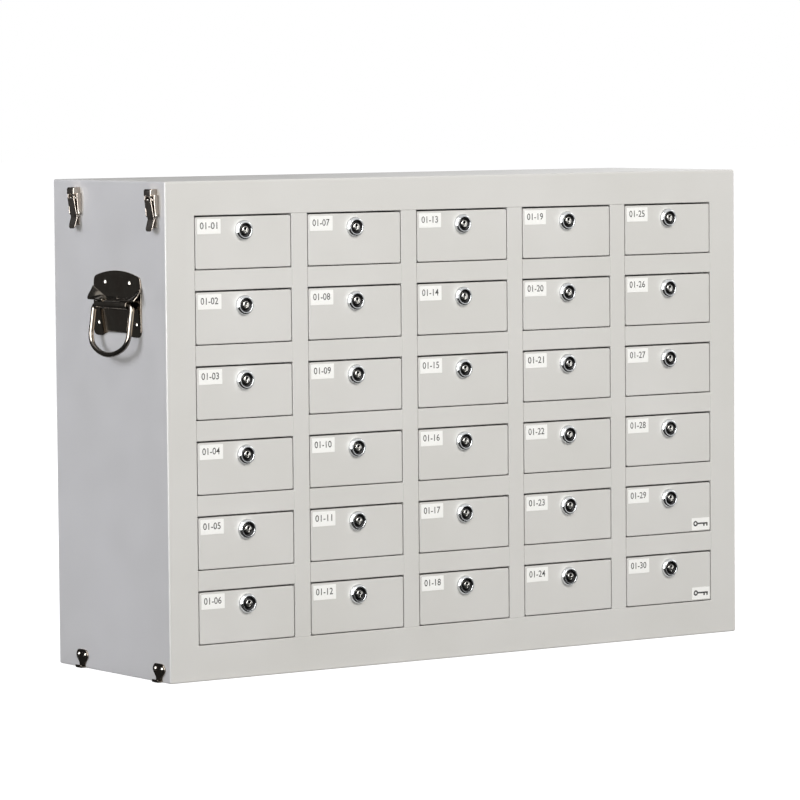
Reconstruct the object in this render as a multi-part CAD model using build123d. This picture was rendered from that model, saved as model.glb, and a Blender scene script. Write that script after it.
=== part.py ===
from build123d import *
import os

# Cell phone locker box: a low sheet-steel cabinet with five columns of six drop-down doors,
# a cam lock on each door, and a drop handle, two toggle latches and two latch keepers on each end.
# Millimetres. +Z is up, +Y points to the back, and the doors face -Y.
# The origin is the centre of the cabinet's underside.

# Grid of compartments
columns = 5
rows = 6
opening_width = 115.0
opening_height = 54.5
mullion_width = 19.25
rail_height = 20.5
side_band = 34.0
top_band = 34.5
bottom_band = 36.0
cabinet_depth = 218.0

# Sheet steel
sheet = 1.0
inside_bend = 1.0          # inside radius of the cabinet's outer edges
fold_radius = 0.9          # outside radius of the small folds round the openings
return_depth = 17.0        # depth of the folds behind the front bands and rails
back_flange = 12.0         # rear fold that holds the back panel
panel_play = 0.2           # back panel to the bends beside it
seam_inset = 3.0           # upright seams of top and base, beyond the window's jambs
top_lap = 2.0              # the top's short legs down the jambs
base_lap = 8.0             # the base's legs up the jambs, past the hinge pins
shelf_lap = 10.0           # shelf under the rail's top fold
beyond = 1.0               # how far a cut reaches past the face it opens

# Doors
door_side_gap = 1.0
door_top_gap = 1.6
door_bottom_gap = 1.0
door_depth = 12.0
door_corner_radius = 2.0
least_inside_radius = 0.2  # of the pan's inner corners
tab_reach = 4.0            # stop tabs beside each door
tab_height = 12.0
tab_rise = 30.0
tab_clearance = 0.3

# Hinge pins
running_clearance = 0.05   # radial
pin_diameter = 2.4
pin_setback = 2.8          # axis behind the door's face
pin_rise = 2.8             # axis above the door's lower edge
pin_tip = 1.5              # beyond the door's side fold
pin_head = 1.0
pin_head_play = 0.1        # pin's head to the front sheet

# Cam locks
lock_drop = 15.5           # centre below the opening's top
bezel_diameter = 20.0
bezel_face_diameter = 16.5
bezel_height = 4.5
bezel_rim = 1.0            # straight rim of the bezel on the door
bezel_bulge = 0.6          # rounding of its shoulder beyond a straight cone
recess_diameter = 14.0
recess_depth = 2.0
barrel_diameter = 16.0
barrel_play = 0.1
lock_nut_size = 20.0
lock_nut_height = 4.0
plug_diameter = 10.0
plug_sink = 0.5            # plug face behind the bezel's face
key_slot_width = 2.2
key_slot_height = 6.6
key_slot_rise = 0.7        # slot's middle above the plug's
key_slot_depth = 9.0
cam_gap = 0.6              # cam behind the rail's lower fold
cam_play = 0.3             # cam behind the housing
cam_width = 10.0
cam_reach = 22.0
cam_thickness = 1.8
stud_diameter = 6.0
cam_nut_size = 9.0
cam_nut_height = 2.0

# Cards and stickers
card_width = 27.6
card_height = 15.0
card_inset = 2.0
sticker_width = 24.0
sticker_height = 13.0
sticker_inset = 1.2
sticker_doors = 2          # lowest doors of the last column
paper = 0.3

# Rivets of the side hardware
rivet_diameter = 3.2
rivet_head_diameter = 6.5
rivet_head = 1.8
rivet_tail_diameter = 5.0
rivet_tail = 1.2
small_rivet_head_diameter = 4.6
small_rivet_head = 1.0
keeper_rivet_head_diameter = 5.5

# Drop handles: plate and ring
handle_setback = 92.0      # handle's middle behind the front face
handle_drop = 124.6        # ring's bar below the cabinet's top
plate_sheet = 1.3
plate_width = 92.0
plate_shoulder_width = 89.0
plate_top = 34.3           # plate's crown above the bar
plate_shoulder = 27.8
plate_waist = 17.0
plate_foot = 32.0          # plate's feet below the bar
plate_arch = 26.0          # top of the arch between the feet
boss_top_width = 55.0      # raised middle of the plate's lower half, narrower towards the foot
boss_foot_width = 40.0
boss_height = 0.9
foot_width = 16.5
foot_radius = 7.0
bar_diameter = 5.4
bar_standoff = 5.7         # bar's axis off the cabinet's side
bar_play = 0.5
knuckle_width = 61.0
ear_width = 94.0
ear_start = 38.0           # width at which the ears leave the knuckle
ear_reach = 9.5            # ear tips off the cabinet's side
ear_tip_rise = 4.0
ear_root = 0.2             # ear's lower side off the cabinet's side
ear_lobe_radius = 5.0
ring_width = 74.0
ring_shoulder = 38.5       # corner below each leg, before it is rounded
ring_drop = 58.5           # corner of the foot, before it is rounded
ring_top_radius = 6.0
ring_side_radius = 18.0
ring_foot_radius = 57.0
ring_tilt = 8.0            # degrees, as it hangs
upper_rivet_rise = 21.7
upper_rivet_spacing = 47.0
lower_rivet_fall = 19.5
lower_rivet_spacing = 73.0

# Toggle latches, heights measured down from the cabinet's top
latch_setbacks = (20.6, 170.2)
latch_sheet = 1.2
lever_sheet = 1.0
base_sheet = 0.8
base_top = 9.5
base_foot = 46.0
base_width = 9.6
base_rivet_top = 12.4
base_rivet_foot = 42.5
base_pivot_drop = 18.5
base_pivot_reach = 4.6
ear_radius = 1.8
latch_pin_diameter = 2.0
lever_width = 12.4
lever_play = 0.4           # lever beside the base's ears
lever_lift = 0.3           # lever off the base
lever_crown = 3.2          # lever's face off the base pin's axis
lever_bend_drop = 38.0
lever_bend_reach = 4.0
finger_drop = 49.5
finger_reach = 7.3
finger_radius = 4.0
claw_width = 18.8          # over its arms
claw_block_width = 13.0
claw_web_reach = 5.6
claw_top = 7.5
claw_face_foot = 14.6
claw_reach = 8.2
claw_hook = 3.5            # hook's edge off the cabinet's side
claw_lift = 0.4
claw_pivot_drop = 34.0
claw_pivot_reach = 2.3
claw_end_radius = 1.9
latch_pin_head = 0.6
latch_pin_head_diameter = 3.2
head_play = 0.1

# Latch keepers at the cabinet's bottom edge
keeper_sheet = 1.3
keeper_width = 25.3
keeper_height = 19.2
keeper_shoulder = 12.0
keeper_shoulder_radius = 2.6
keeper_neck_width = 10.6
keeper_neck_height = 3.6
keeper_waist_width = 15.0
keeper_waist_height = 7.2
keeper_lift = 0.5
keeper_lip_reach = 6.2
keeper_lip_height = 3.0
keeper_fold_radius = 1.1
keeper_rivet_rise = 13.6
keeper_rivet_spacing = 12.2

# Sizes that follow
front = -cabinet_depth / 2
back = cabinet_depth / 2
column_pitch = opening_width + mullion_width
row_pitch = opening_height + rail_height
cabinet_width = 2 * side_band + columns * column_pitch - mullion_width
cabinet_height = bottom_band + rows * row_pitch - rail_height + top_band
side = cabinet_width / 2
window_side = side - side_band
window_top = cabinet_height - top_band
seam_side = window_side + sheet + seam_inset
walls_back = back - 2 * sheet
fold = min(fold_radius, 0.9 * sheet)
door_width = opening_width - 2 * door_side_gap
door_height = opening_height - door_top_gap - door_bottom_gap
door_top = door_bottom_gap + door_height
hinge_height = door_bottom_gap + pin_rise
pin_head_radius = pin_setback - sheet - pin_head_play
lock_height = opening_height - lock_drop
cam_front = return_depth + cam_gap
handle_height = cabinet_height - handle_drop
handle_y = front + handle_setback


def opening_left(column):
    return -window_side + column * column_pitch


def opening_bottom(row):
    return window_top - opening_height - row * row_pitch


def block(x, y, z):
    """A box between pairs of coordinates."""
    middle = Location(((x[0] + x[1]) / 2, (y[0] + y[1]) / 2, (z[0] + z[1]) / 2))
    return middle * Box(x[1] - x[0], y[1] - y[0], z[1] - z[0])


def rod(start, direction, radius, length):
    """A round bar from a point along a direction."""
    along = (Align.CENTER, Align.CENTER, Align.MIN)
    return Plane(origin=start, z_dir=direction) * Cylinder(radius, length, align=along)


def side_plate(outline, width):
    """A profile in X and Z, given width along Y with its middle at y = 0."""
    return Location((0, width / 2, 0)) * extrude(Plane.XZ * make_face(outline), width)


def path(points):
    return Polyline(*points, close=True)


def save(name, pieces):
    solids = [solid for piece in pieces for solid in piece.solids()]
    export_step(Compound(solids), f"parts/{name}.step")


def mirrored(pieces):
    return [mirror(piece, Plane.YZ) for piece in pieces]


def cabinet_shell():
    """Sheet shell with bent edges, folded jambs round the front window and a rear flange."""
    outer = block((-side, side), (front, back), (0, cabinet_height))
    outer = fillet(outer.edges(), inside_bend + sheet)
    inside_y = (front + sheet, back - sheet)
    inner = block((sheet - side, side - sheet), inside_y, (sheet, cabinet_height - sheet))
    inner = fillet(inner.edges(), inside_bend)
    window_x = (-window_side, window_side)
    window_z = (bottom_band, window_top)
    jamb_x = (-window_side - sheet, window_side + sheet)
    jamb = block(jamb_x, (front, front + return_depth), (bottom_band - sheet, window_top + sheet))
    rear_x = (back_flange - side, side - back_flange)
    rear = block(rear_x, (back - 2 * sheet, back + sheet), (back_flange, cabinet_height - back_flange))
    shell = outer - inner - rear + jamb
    shell -= block(window_x, (front - sheet, front + return_depth), window_z)
    rim = shell.faces().filter_by(Axis.Y).sort_by(Axis.Y)[0].inner_wires()[0].edges()
    return fillet(rim, fold)


def end_rail(z):
    """Space of the top or base panel: between the seams, from the window's jamb outwards."""
    return block((-seam_side, seam_side), (2 * front, 2 * back), z)


def top_rail():
    return end_rail((window_top - top_lap, 2 * cabinet_height))


def base_rail():
    return end_rail((-cabinet_height, bottom_band + base_lap))


def stop_tab(wall, facing):
    """Small folded tab that a closed door's side fold meets; facing is +1 to reach right."""
    reach = sorted((wall, wall + facing * tab_reach))
    y = front + door_depth + tab_clearance
    return block(reach, (y, y + sheet), (tab_rise, tab_rise + tab_height))


def hinge_heights():
    return [opening_bottom(row) + hinge_height for row in range(rows)]


def jamb_pin_holes():
    """Holes for the outermost hinge pins, through both jambs of the window."""
    radius = pin_diameter / 2 + running_clearance
    reach = window_side + sheet + beyond
    return [rod((-reach, front + pin_setback, z), (1, 0, 0), radius, 2 * reach) for z in hinge_heights()]


def side_hardware_holes():
    """Rivet holes of the right side, as bars through the sheet."""
    spots = [(y, z) for y, z, _, _, _ in rivet_spots()]
    radius = rivet_diameter / 2 + running_clearance
    return [rod((side - 2 * sheet, y, z), (1, 0, 0), radius, 3 * sheet) for y, z in spots]


def rivet_spots():
    """Each rivet of the right side: y, z, plate under its head, head diameter and height."""
    spots = []
    for rise, spacing in ((upper_rivet_rise, upper_rivet_spacing), (-lower_rivet_fall, lower_rivet_spacing)):
        for way in (-1, 1):
            place = (handle_y + way * spacing / 2, handle_height + rise)
            spots.append((*place, plate_sheet, rivet_head_diameter, rivet_head))
    for setback in latch_setbacks:
        y = front + setback
        for drop in (base_rivet_top, base_rivet_foot):
            spots.append((y, cabinet_height - drop, base_sheet, small_rivet_head_diameter, small_rivet_head))
        for way in (-1, 1):
            place = (y + way * keeper_rivet_spacing / 2, keeper_rivet_rise)
            spots.append((*place, keeper_sheet, keeper_rivet_head_diameter, rivet_head))
    return spots


def right_side_panel(shell):
    half = block((0, 2 * side), (2 * front, 2 * back), (-cabinet_height, 2 * cabinet_height))
    panel = (shell & half) - top_rail() - base_rail()
    tab = stop_tab(window_side, -1)
    panel += [Location((0, 0, opening_bottom(row))) * tab for row in range(rows)]
    return panel - side_hardware_holes()


def back_panel():
    play = inside_bend + panel_play
    across = side - sheet - play
    return block((-across, across), (walls_back, back - sheet), (sheet + play, cabinet_height - sheet - play))


def side_liner(x):
    return block((x, x + sheet), (front + return_depth, walls_back), (sheet, cabinet_height - sheet))


def divider():
    """Deep channel between two columns: its fold is the mullion, its walls part the compartments."""
    half = mullion_width / 2
    nose = block((-half, half), (front, front + return_depth), (bottom_band, window_top))
    nose = fillet(nose.faces().sort_by(Axis.Y)[0].edges().filter_by(Axis.Z), fold)
    body = block((-half, half), (front + return_depth, walls_back), (sheet, cabinet_height - sheet))
    channel = nose + body - block((sheet - half, half - sheet), (front + sheet, back), (0, cabinet_height))
    for row in range(rows):
        lift = Location((0, 0, opening_bottom(row)))
        channel += [lift * stop_tab(half, 1), lift * stop_tab(-half, -1)]
    radius, reach = pin_diameter / 2 + running_clearance, half + sheet
    return channel - [rod((-reach, front + pin_setback, z), (1, 0, 0), radius, 2 * reach)
                      for z in hinge_heights()]


def cross_rail():
    """Channel between two doors, from the top of the lower opening."""
    across = (0, opening_width)
    rail = block(across, (front, front + return_depth), (0, rail_height))
    rail = fillet(rail.faces().sort_by(Axis.Y)[0].edges().filter_by(Axis.X), fold)
    return rail - block(across, (front + sheet, front + return_depth), (sheet, rail_height - sheet))


def shelf():
    """Compartment floor, under the fold below its opening."""
    deep = (front + return_depth - shelf_lap, walls_back)
    return block((0, opening_width), deep, (-2 * sheet, -sheet))


def hinge_pin():
    """Headed pin along +X from the outside of a wall, which starts at the origin."""
    shank = rod((0, 0, 0), (1, 0, 0), pin_diameter / 2, 2 * sheet + door_side_gap + pin_tip)
    return shank + rod((0, 0, 0), (-1, 0, 0), pin_head_radius, pin_head)


def door_pan():
    """Door as a folded pan, its face at y = 0, over an opening whose lower edge is at z = 0."""
    across = (-door_width / 2, door_width / 2)
    pan = block(across, (0, door_depth), (door_bottom_gap, door_top))
    pan = fillet(pan.edges().filter_by(Axis.Y), door_corner_radius)
    pan = fillet(pan.faces().sort_by(Axis.Y)[0].edges(), fold)
    inside = (across[0] + sheet, across[1] - sheet)
    hollow = block(inside, (sheet, door_depth), (door_bottom_gap + sheet, door_top - sheet))
    pan -= fillet(hollow.edges().filter_by(Axis.Y), max(door_corner_radius - sheet, least_inside_radius))
    radius = pin_diameter / 2 + running_clearance
    pan -= rod((-door_width, pin_setback, hinge_height), (1, 0, 0), radius, 2 * door_width)
    radius = barrel_diameter / 2 + barrel_play
    return pan - rod((0, -sheet, lock_height), (0, 1, 0), radius, 3 * sheet)


def lock_housing():
    """Turned housing with a rounded bezel, a recessed face and a bore for the plug."""
    base, face = bezel_diameter / 2, bezel_face_diameter / 2
    recess, bore = recess_diameter / 2, plug_diameter / 2 + running_clearance
    barrel, end = barrel_diameter / 2, cam_front - cam_play
    run, rise = bezel_height - bezel_rim, base - face
    out = bezel_bulge / (run ** 2 + rise ** 2) ** 0.5
    shoulder = ((base + face) / 2 + run * out, -(bezel_rim + bezel_height) / 2 - rise * out)
    outline = [Line((barrel, 0), (base, 0)), Line((base, 0), (base, -bezel_rim))]
    outline += [ThreePointArc((base, -bezel_rim), shoulder, (face, -bezel_height))]
    corners = [(face, -bezel_height), (recess, -bezel_height), (recess, recess_depth - bezel_height),
               (bore, recess_depth - bezel_height), (bore, end), (barrel, end), (barrel, 0)]
    outline += [Polyline(*corners)]
    housing = revolve(make_face(outline), Axis.Y)
    return Location((0, 0, lock_height)) * housing


def ring_nut(size, bore, height, start):
    """Hexagon nut round the lock's axis, from start towards the back."""
    flat = Plane(origin=(0, start, lock_height), z_dir=(0, 1, 0))
    nut = flat * extrude(RegularPolygon(size / 2, 6, major_radius=False) - Circle(bore), height)
    return nut


def lock_plug():
    """Plug with its key slot and the stud that carries the cam."""
    face = plug_sink - bezel_height
    plug = rod((0, face, lock_height), (0, 1, 0), plug_diameter / 2, cam_front - face)
    slot_foot = lock_height + key_slot_rise - key_slot_height / 2
    plug -= block((-key_slot_width / 2, key_slot_width / 2), (face - beyond, face + key_slot_depth),
                  (slot_foot, slot_foot + key_slot_height))
    reach = cam_thickness + cam_nut_height
    return plug + rod((0, cam_front, lock_height), (0, 1, 0), stud_diameter / 2, reach)


def lock_cam():
    """Flat cam that points to the left while unlocked and turns up behind the rail."""
    length = cam_reach - cam_width / 2
    flat = Plane(origin=(0, cam_front, lock_height), x_dir=(-1, 0, 0), z_dir=(0, 1, 0))
    shape = Pos(length / 2, 0) * SlotCenterToCenter(length, cam_width)
    return flat * extrude(shape - Circle(stud_diameter / 2 + running_clearance), cam_thickness)


def plug_pieces():
    stud = stud_diameter / 2 + running_clearance
    return [lock_plug(), lock_cam(), ring_nut(cam_nut_size, stud, cam_nut_height, cam_front + cam_thickness)]


def number_card():
    left = card_inset - door_width / 2
    top = door_top - card_inset
    return block((left, left + card_width), (-paper, 0), (top - card_height, top))


def sticker():
    right = door_width / 2 - sticker_inset
    foot = door_bottom_gap + sticker_inset
    return block((right - sticker_width, right), (-paper, 0), (foot, foot + sticker_height))


def rivet(head_diameter, head_height, grip):
    """Domed rivet along +X: its head stands on a plate whose back lies on the sheet at x = 0."""
    radius = head_diameter / 2
    dome = (head_height ** 2 + radius ** 2) / (2 * head_height)
    mid = (radius / 2, grip + head_height - dome + (dome ** 2 - radius ** 2 / 4) ** 0.5)
    shank, tail = rivet_diameter / 2, rivet_tail_diameter / 2
    outline = [Polyline((0, grip + head_height), (0, -sheet - rivet_tail), (tail, -sheet - rivet_tail),
                        (tail, -sheet), (shank, -sheet), (shank, grip), (radius, grip))]
    outline += [ThreePointArc((radius, grip), mid, (0, grip + head_height))]
    turned = revolve(make_face(outline), Axis.Y)
    return Rotation(0, 0, -90) * turned


def rivets():
    right = []
    for y, z, grip, diameter, height in rivet_spots():
        right.append(Location((side, y, z)) * rivet(diameter, height, grip))
    return right + mirrored(right)


def handle_place():
    return Location((side, handle_y, handle_height))


def handle_plate():
    """Stamped plate with a knuckle over the ring's bar, flared ears and an arched foot."""
    half, shoulder = plate_width / 2, plate_shoulder_width / 2
    inner_foot = half - foot_width
    outline = [ThreePointArc((-shoulder, plate_shoulder), (0, plate_top), (shoulder, plate_shoulder))]
    outline += [Polyline((shoulder, plate_shoulder), (half, plate_waist), (half, -plate_foot),
                         (inner_foot, -plate_foot))]
    outline += [ThreePointArc((inner_foot, -plate_foot), (0, -plate_arch), (-inner_foot, -plate_foot))]
    outline += [Polyline((-inner_foot, -plate_foot), (-half, -plate_foot), (-half, plate_waist),
                         (-shoulder, plate_shoulder))]
    face = Plane.YZ * make_face(outline)
    plate = extrude(face, plate_sheet)
    corners = plate.edges().filter_by(Axis.X)
    plate = fillet(corners.sort_by(Axis.Z)[:4], foot_radius)
    corners = plate.edges().filter_by(Axis.X)
    plate = fillet(corners.sort_by(Axis.Z)[-2:], foot_radius)

    wide, narrow = boss_top_width / 2, boss_foot_width / 2
    middle = Plane.YZ * make_face(path([(-wide, 0), (wide, 0), (narrow, -plate_foot), (-narrow, -plate_foot)]))
    boss = extrude(face & middle, plate_sheet + boss_height)

    bore = bar_diameter / 2 + bar_play
    outer = bore + plate_sheet
    tube = rod((bar_standoff, -knuckle_width / 2, 0), (0, 1, 0), outer, knuckle_width)
    tube += block((0, bar_standoff), (-knuckle_width / 2, knuckle_width / 2), (-outer, outer))
    ear = handle_ear(outer)
    hollow = rod((bar_standoff, -plate_width, 0), (0, 1, 0), bore, 2 * plate_width)
    slot = block((-plate_sheet, bar_standoff), (-knuckle_width / 2, knuckle_width / 2), (-bore, bore))
    plate = plate + boss + tube + ear + mirror(ear, Plane.XZ) - hollow - slot
    for rise, spacing in ((upper_rivet_rise, upper_rivet_spacing), (-lower_rivet_fall, lower_rivet_spacing)):
        for way in (-1, 1):
            start = (-plate_sheet, way * spacing / 2, rise)
            plate -= rod(start, (1, 0, 0), rivet_diameter / 2 + running_clearance, 3 * plate_sheet)
    return plate


def handle_ear(knuckle_top):
    """Flared ear: a sheet that rises from the plate beside the knuckle to a tip over the ring's corner."""
    inner = [(ear_root, knuckle_top), (bar_standoff, knuckle_top), (bar_standoff, knuckle_top - plate_sheet),
             (ear_root, knuckle_top - plate_sheet)]
    tip = [(ear_root, plate_waist), (ear_reach, ear_tip_rise + plate_sheet),
           (ear_reach - plate_sheet, ear_tip_rise), (ear_root, plate_waist - 2 * plate_sheet)]
    sections = []
    for points, y in ((inner, ear_start / 2), (tip, ear_width / 2)):
        flat = Plane(origin=(0, y, 0), x_dir=(1, 0, 0), z_dir=(0, -1, 0))
        sections.append(flat * make_face(path(points)))
    ear = loft(sections, ruled=True)
    tip_end = [edge for edge in ear.edges() if edge.center().Y > ear_width / 2 - plate_sheet
               and edge.center().X > ear_reach - plate_sheet]
    return fillet(tip_end, ear_lobe_radius)


def handle_ring():
    """Closed ring of round bar: a straight bar in the knuckle, two legs and a rounded foot."""
    half = ring_width / 2
    corners = [(0, half, 0), (0, half, -ring_shoulder), (0, 0, -ring_drop), (0, -half, -ring_shoulder),
               (0, -half, 0)]
    radii = [ring_top_radius, ring_side_radius, ring_foot_radius, ring_side_radius, ring_top_radius]
    loop = FilletPolyline(*corners, close=True, radius=radii)
    section = Plane(origin=loop @ 0, z_dir=loop % 0) * Circle(bar_diameter / 2)
    ring = sweep(section, loop)
    return Location((bar_standoff, 0, 0)) * (Rotation(0, -ring_tilt, 0) * ring)


def latch_place(setback):
    return Location((side, front + setback, cabinet_height))


def latch_base():
    """Base plate with two ears that hold the lever's pin."""
    plate = block((0, base_sheet), (-base_width / 2, base_width / 2), (-base_foot, -base_top))
    half, top = ear_radius, -base_pivot_drop
    outline = path([(0, top), (base_pivot_reach, top + half), (base_pivot_reach, top - half),
                    (0, top - 3 * half)])
    ears = side_plate(outline, base_width)
    ears += rod((base_pivot_reach, -base_width / 2, top), (0, 1, 0), ear_radius, base_width)
    gap = base_width / 2 - lever_sheet
    ears -= block((base_sheet, claw_reach), (-gap, gap), (-base_foot, 0))
    ears -= rod((base_pivot_reach, -base_width, top), (0, 1, 0), latch_pin_diameter / 2, 2 * base_width)
    base = plate + ears
    for drop in (base_rivet_top, base_rivet_foot):
        radius = rivet_diameter / 2 + running_clearance
        base -= rod((-base_sheet, 0, -drop), (1, 0, 0), radius, 3 * base_sheet)
    return base


def headed_pin(reach, drop, inner_width):
    """Pin across the latch with a head beyond each side of the given width."""
    half = inner_width / 2 + head_play
    pin = rod((reach, -half, -drop), (0, 1, 0), latch_pin_diameter / 2, 2 * half)
    for way in (-1, 1):
        pin += rod((reach, way * half, -drop), (0, way, 0), latch_pin_head_diameter / 2, latch_pin_head)
    return pin


def lever_face(drop):
    """Outer face of the closed lever above its bend: reach off the cabinet's side at a height."""
    crown = base_pivot_reach + lever_crown
    share = (drop - base_pivot_drop) / (lever_bend_drop - base_pivot_drop)
    return crown + share * (lever_bend_reach - crown)


def latch_lever():
    """Channel lever that turns on the base's pin, with a flared finger tab."""
    pivot = (base_pivot_reach, -base_pivot_drop)
    low = base_sheet + lever_lift
    outline = path([(pivot[0] - lever_crown + lever_sheet, pivot[1]),
                    (lever_face(base_pivot_drop), pivot[1]), (lever_bend_reach, -lever_bend_drop),
                    (low, -lever_bend_drop), (low, pivot[1] - lever_crown)])
    body = side_plate(outline, lever_width)
    body += rod((pivot[0], -lever_width / 2, pivot[1]), (0, 1, 0), lever_crown, lever_width)
    body = body & block((low, claw_reach), (-lever_width, lever_width), (-finger_drop, 0))
    inside = base_width / 2 + lever_play
    web, bend = lever_face(base_pivot_drop) - lever_sheet, lever_bend_reach - lever_sheet
    inner = path([(web, pivot[1]), (bend, -lever_bend_drop), (-beyond, -lever_bend_drop), (-beyond, 0),
                  (claw_reach, 0), (claw_reach, pivot[1])])
    body -= side_plate(inner, 2 * inside)
    tab = path([(lever_bend_reach, -lever_bend_drop), (finger_reach, -finger_drop),
                (finger_reach - lever_sheet, -finger_drop), (bend, -lever_bend_drop)])
    tall = 2 * (finger_drop - lever_bend_drop)
    rounded = Pos(0, tall / 2 - finger_drop) * RectangleRounded(lever_width, tall, finger_radius)
    finger = side_plate(tab, lever_width) & extrude(Plane.YZ * rounded, claw_reach)
    lever = body + finger
    for reach, drop in ((base_pivot_reach, base_pivot_drop), (claw_pivot_reach, claw_pivot_drop)):
        radius = latch_pin_diameter / 2 + running_clearance
        lever -= rod((reach, -lever_width, -drop), (0, 1, 0), radius, 2 * lever_width)
    return lever


def latch_claw():
    """Claw astride the lever: a hooked block, a web below it and two arms down to the claw's pin."""
    end = (claw_pivot_reach, -claw_pivot_drop)
    half, arm = claw_block_width / 2, claw_width / 2
    hook = block((claw_lift, claw_reach), (-half, half), (-claw_face_foot, -claw_top))
    hook = fillet(hook.faces().sort_by(Axis.X)[-1].edges().filter_by(Axis.Y).sort_by(Axis.Z)[-1:], latch_sheet)
    web = (-claw_face_foot, latch_sheet - claw_face_foot)
    inside = half - latch_sheet
    hook -= block((-beyond, claw_reach - latch_sheet), (-inside, inside), (web[1], -claw_top - latch_sheet))

    outline = path([(claw_lift, web[1]), (claw_web_reach, web[1]), (claw_web_reach, -base_pivot_drop),
                    (end[0] + claw_end_radius, end[1]), (end[0] - claw_end_radius, end[1])])
    arms = side_plate(outline, claw_width)
    arms += rod((end[0], -arm, end[1]), (0, 1, 0), claw_end_radius, claw_width)
    gap = arm - latch_sheet
    arms -= block((-beyond, claw_reach), (-gap, gap), (-finger_drop, web[0]))
    claw = hook + arms - block((-beyond, claw_hook), (-inside, inside), (-finger_drop, 0))
    return claw - rod((end[0], -claw_width, end[1]), (0, 1, 0), latch_pin_diameter / 2, 2 * claw_width)


def keeper():
    """Pear-shaped plate with a hooked lip at the cabinet's bottom edge."""
    half, neck, waist = keeper_width / 2, keeper_neck_width / 2, keeper_waist_width / 2
    shoulder, throat = keeper_shoulder, keeper_neck_height
    outline = [ThreePointArc((-half, shoulder), (0, keeper_height), (half, shoulder))]
    outline += [ThreePointArc((half, shoulder), (waist, keeper_waist_height), (neck, throat))]
    outline += [Polyline((neck, throat), (neck, keeper_lift), (-neck, keeper_lift), (-neck, throat))]
    outline += [ThreePointArc((-neck, throat), (-waist, keeper_waist_height), (-half, shoulder))]
    plate = extrude(Plane.YZ * make_face(outline), keeper_sheet)
    corners = [edge for edge in plate.edges().filter_by(Axis.X) if abs(edge.center().Z - shoulder) < 0.01]
    plate = fillet(corners, keeper_shoulder_radius)
    foot = (keeper_lift, keeper_lift + keeper_sheet)
    lip = block((0, keeper_lip_reach), (-neck, neck), foot)
    hook_x = (keeper_lip_reach - keeper_sheet, keeper_lip_reach)
    lip += block(hook_x, (-neck, neck), (keeper_lift, keeper_lift + keeper_lip_height))
    under = [edge for edge in lip.edges().filter_by(Axis.Y)
             if abs(edge.center().X - keeper_lip_reach) < 0.01 and abs(edge.center().Z - keeper_lift) < 0.01]
    plate += fillet(under, min(keeper_fold_radius, 0.9 * keeper_sheet))
    for way in (-1, 1):
        start = (-keeper_sheet, way * keeper_rivet_spacing / 2, keeper_rivet_rise)
        plate -= rod(start, (1, 0, 0), rivet_diameter / 2 + running_clearance, 3 * keeper_sheet)
    return plate


def hinge_pins():
    pin = hinge_pin()
    turned = Rotation(0, 0, 180) * pin
    pins = []
    for column in range(columns):
        left = opening_left(column)
        for z in hinge_heights():
            pins.append(Location((left - sheet, front + pin_setback, z)) * pin)
            pins.append(Location((left + opening_width + sheet, front + pin_setback, z)) * turned)
    return pins


def make_cabinet():
    shell = cabinet_shell() - jamb_pin_holes()
    right = right_side_panel(shell)
    save("right_side_panel", [right])
    save("left_side_panel", mirrored([right]))
    save("top_panel", [shell & top_rail()])
    save("base_panel", [shell & base_rail()])
    save("back_panel", [back_panel()])
    save("side_liners", [side_liner(-window_side - sheet), side_liner(window_side)])
    post = divider()
    between = [opening_left(column) - mullion_width / 2 for column in range(1, columns)]
    save("dividers", [Location((x, 0, 0)) * post for x in between])
    rail, floor = cross_rail(), shelf()
    rail_spots = [(opening_left(column), opening_bottom(row) - rail_height)
                  for column in range(columns) for row in range(rows - 1)]
    save("cross_rails", [Location((x, 0, z)) * rail for x, z in rail_spots])
    floor_spots = [(opening_left(column), opening_bottom(row))
                   for column in range(columns) for row in range(rows)]
    save("shelves", [Location((x, 0, z)) * floor for x, z in floor_spots])
    save("hinge_pins", hinge_pins())


def make_doors():
    """Doors count from the top left; the plugs of the top row are pieces of their own."""
    nut = ring_nut(lock_nut_size, barrel_diameter / 2 + running_clearance, lock_nut_height, sheet)
    door = [door_pan(), lock_housing(), nut, number_card()]
    plug = plug_pieces()
    for column in range(columns):
        for row in range(rows):
            middle = opening_left(column) + opening_width / 2
            place = Location((middle, front, opening_bottom(row)))
            pieces = list(door)
            if row > 0:
                pieces += plug
            if column == columns - 1 and row >= rows - sticker_doors:
                pieces.append(sticker())
            save(f"door_{column + 1}_{row + 1}", [place * piece for piece in pieces])
            if row == 0:
                save(f"lock_plug_{column + 1}", [place * piece for piece in plug])


def make_side_hardware():
    plate = handle_place() * handle_plate()
    save("handle_plates", [plate] + mirrored([plate]))
    ring = handle_place() * handle_ring()
    save("handle_ring_right", [ring])
    save("handle_ring_left", mirrored([ring]))
    base, lever, claw, hook = latch_base(), latch_lever(), latch_claw(), keeper()
    base_pin = headed_pin(base_pivot_reach, base_pivot_drop, lever_width)
    claw_pin = headed_pin(claw_pivot_reach, claw_pivot_drop, claw_width)
    bases, pins, keepers = [], [], []
    for setback, end in zip(latch_setbacks, ("front", "rear")):
        place = latch_place(setback)
        bases.append(place * base)
        pins.append(place * base_pin)
        keepers.append(Location((side, front + setback, 0)) * hook)
        save(f"latch_lever_right_{end}", [place * lever])
        save(f"latch_lever_left_{end}", mirrored([place * lever]))
        save(f"latch_claw_right_{end}", [place * claw, place * claw_pin])
        save(f"latch_claw_left_{end}", mirrored([place * claw, place * claw_pin]))
    save("latch_bases", bases + mirrored(bases))
    save("latch_pins", pins + mirrored(pins))
    save("keepers", keepers + mirrored(keepers))
    save("rivets", rivets())


os.makedirs("parts", exist_ok=True)
make_cabinet()
make_doors()
make_side_hardware()
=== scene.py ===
import math

import bmesh
import bpy
import numpy as np
from mathutils import Matrix, Vector


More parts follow.
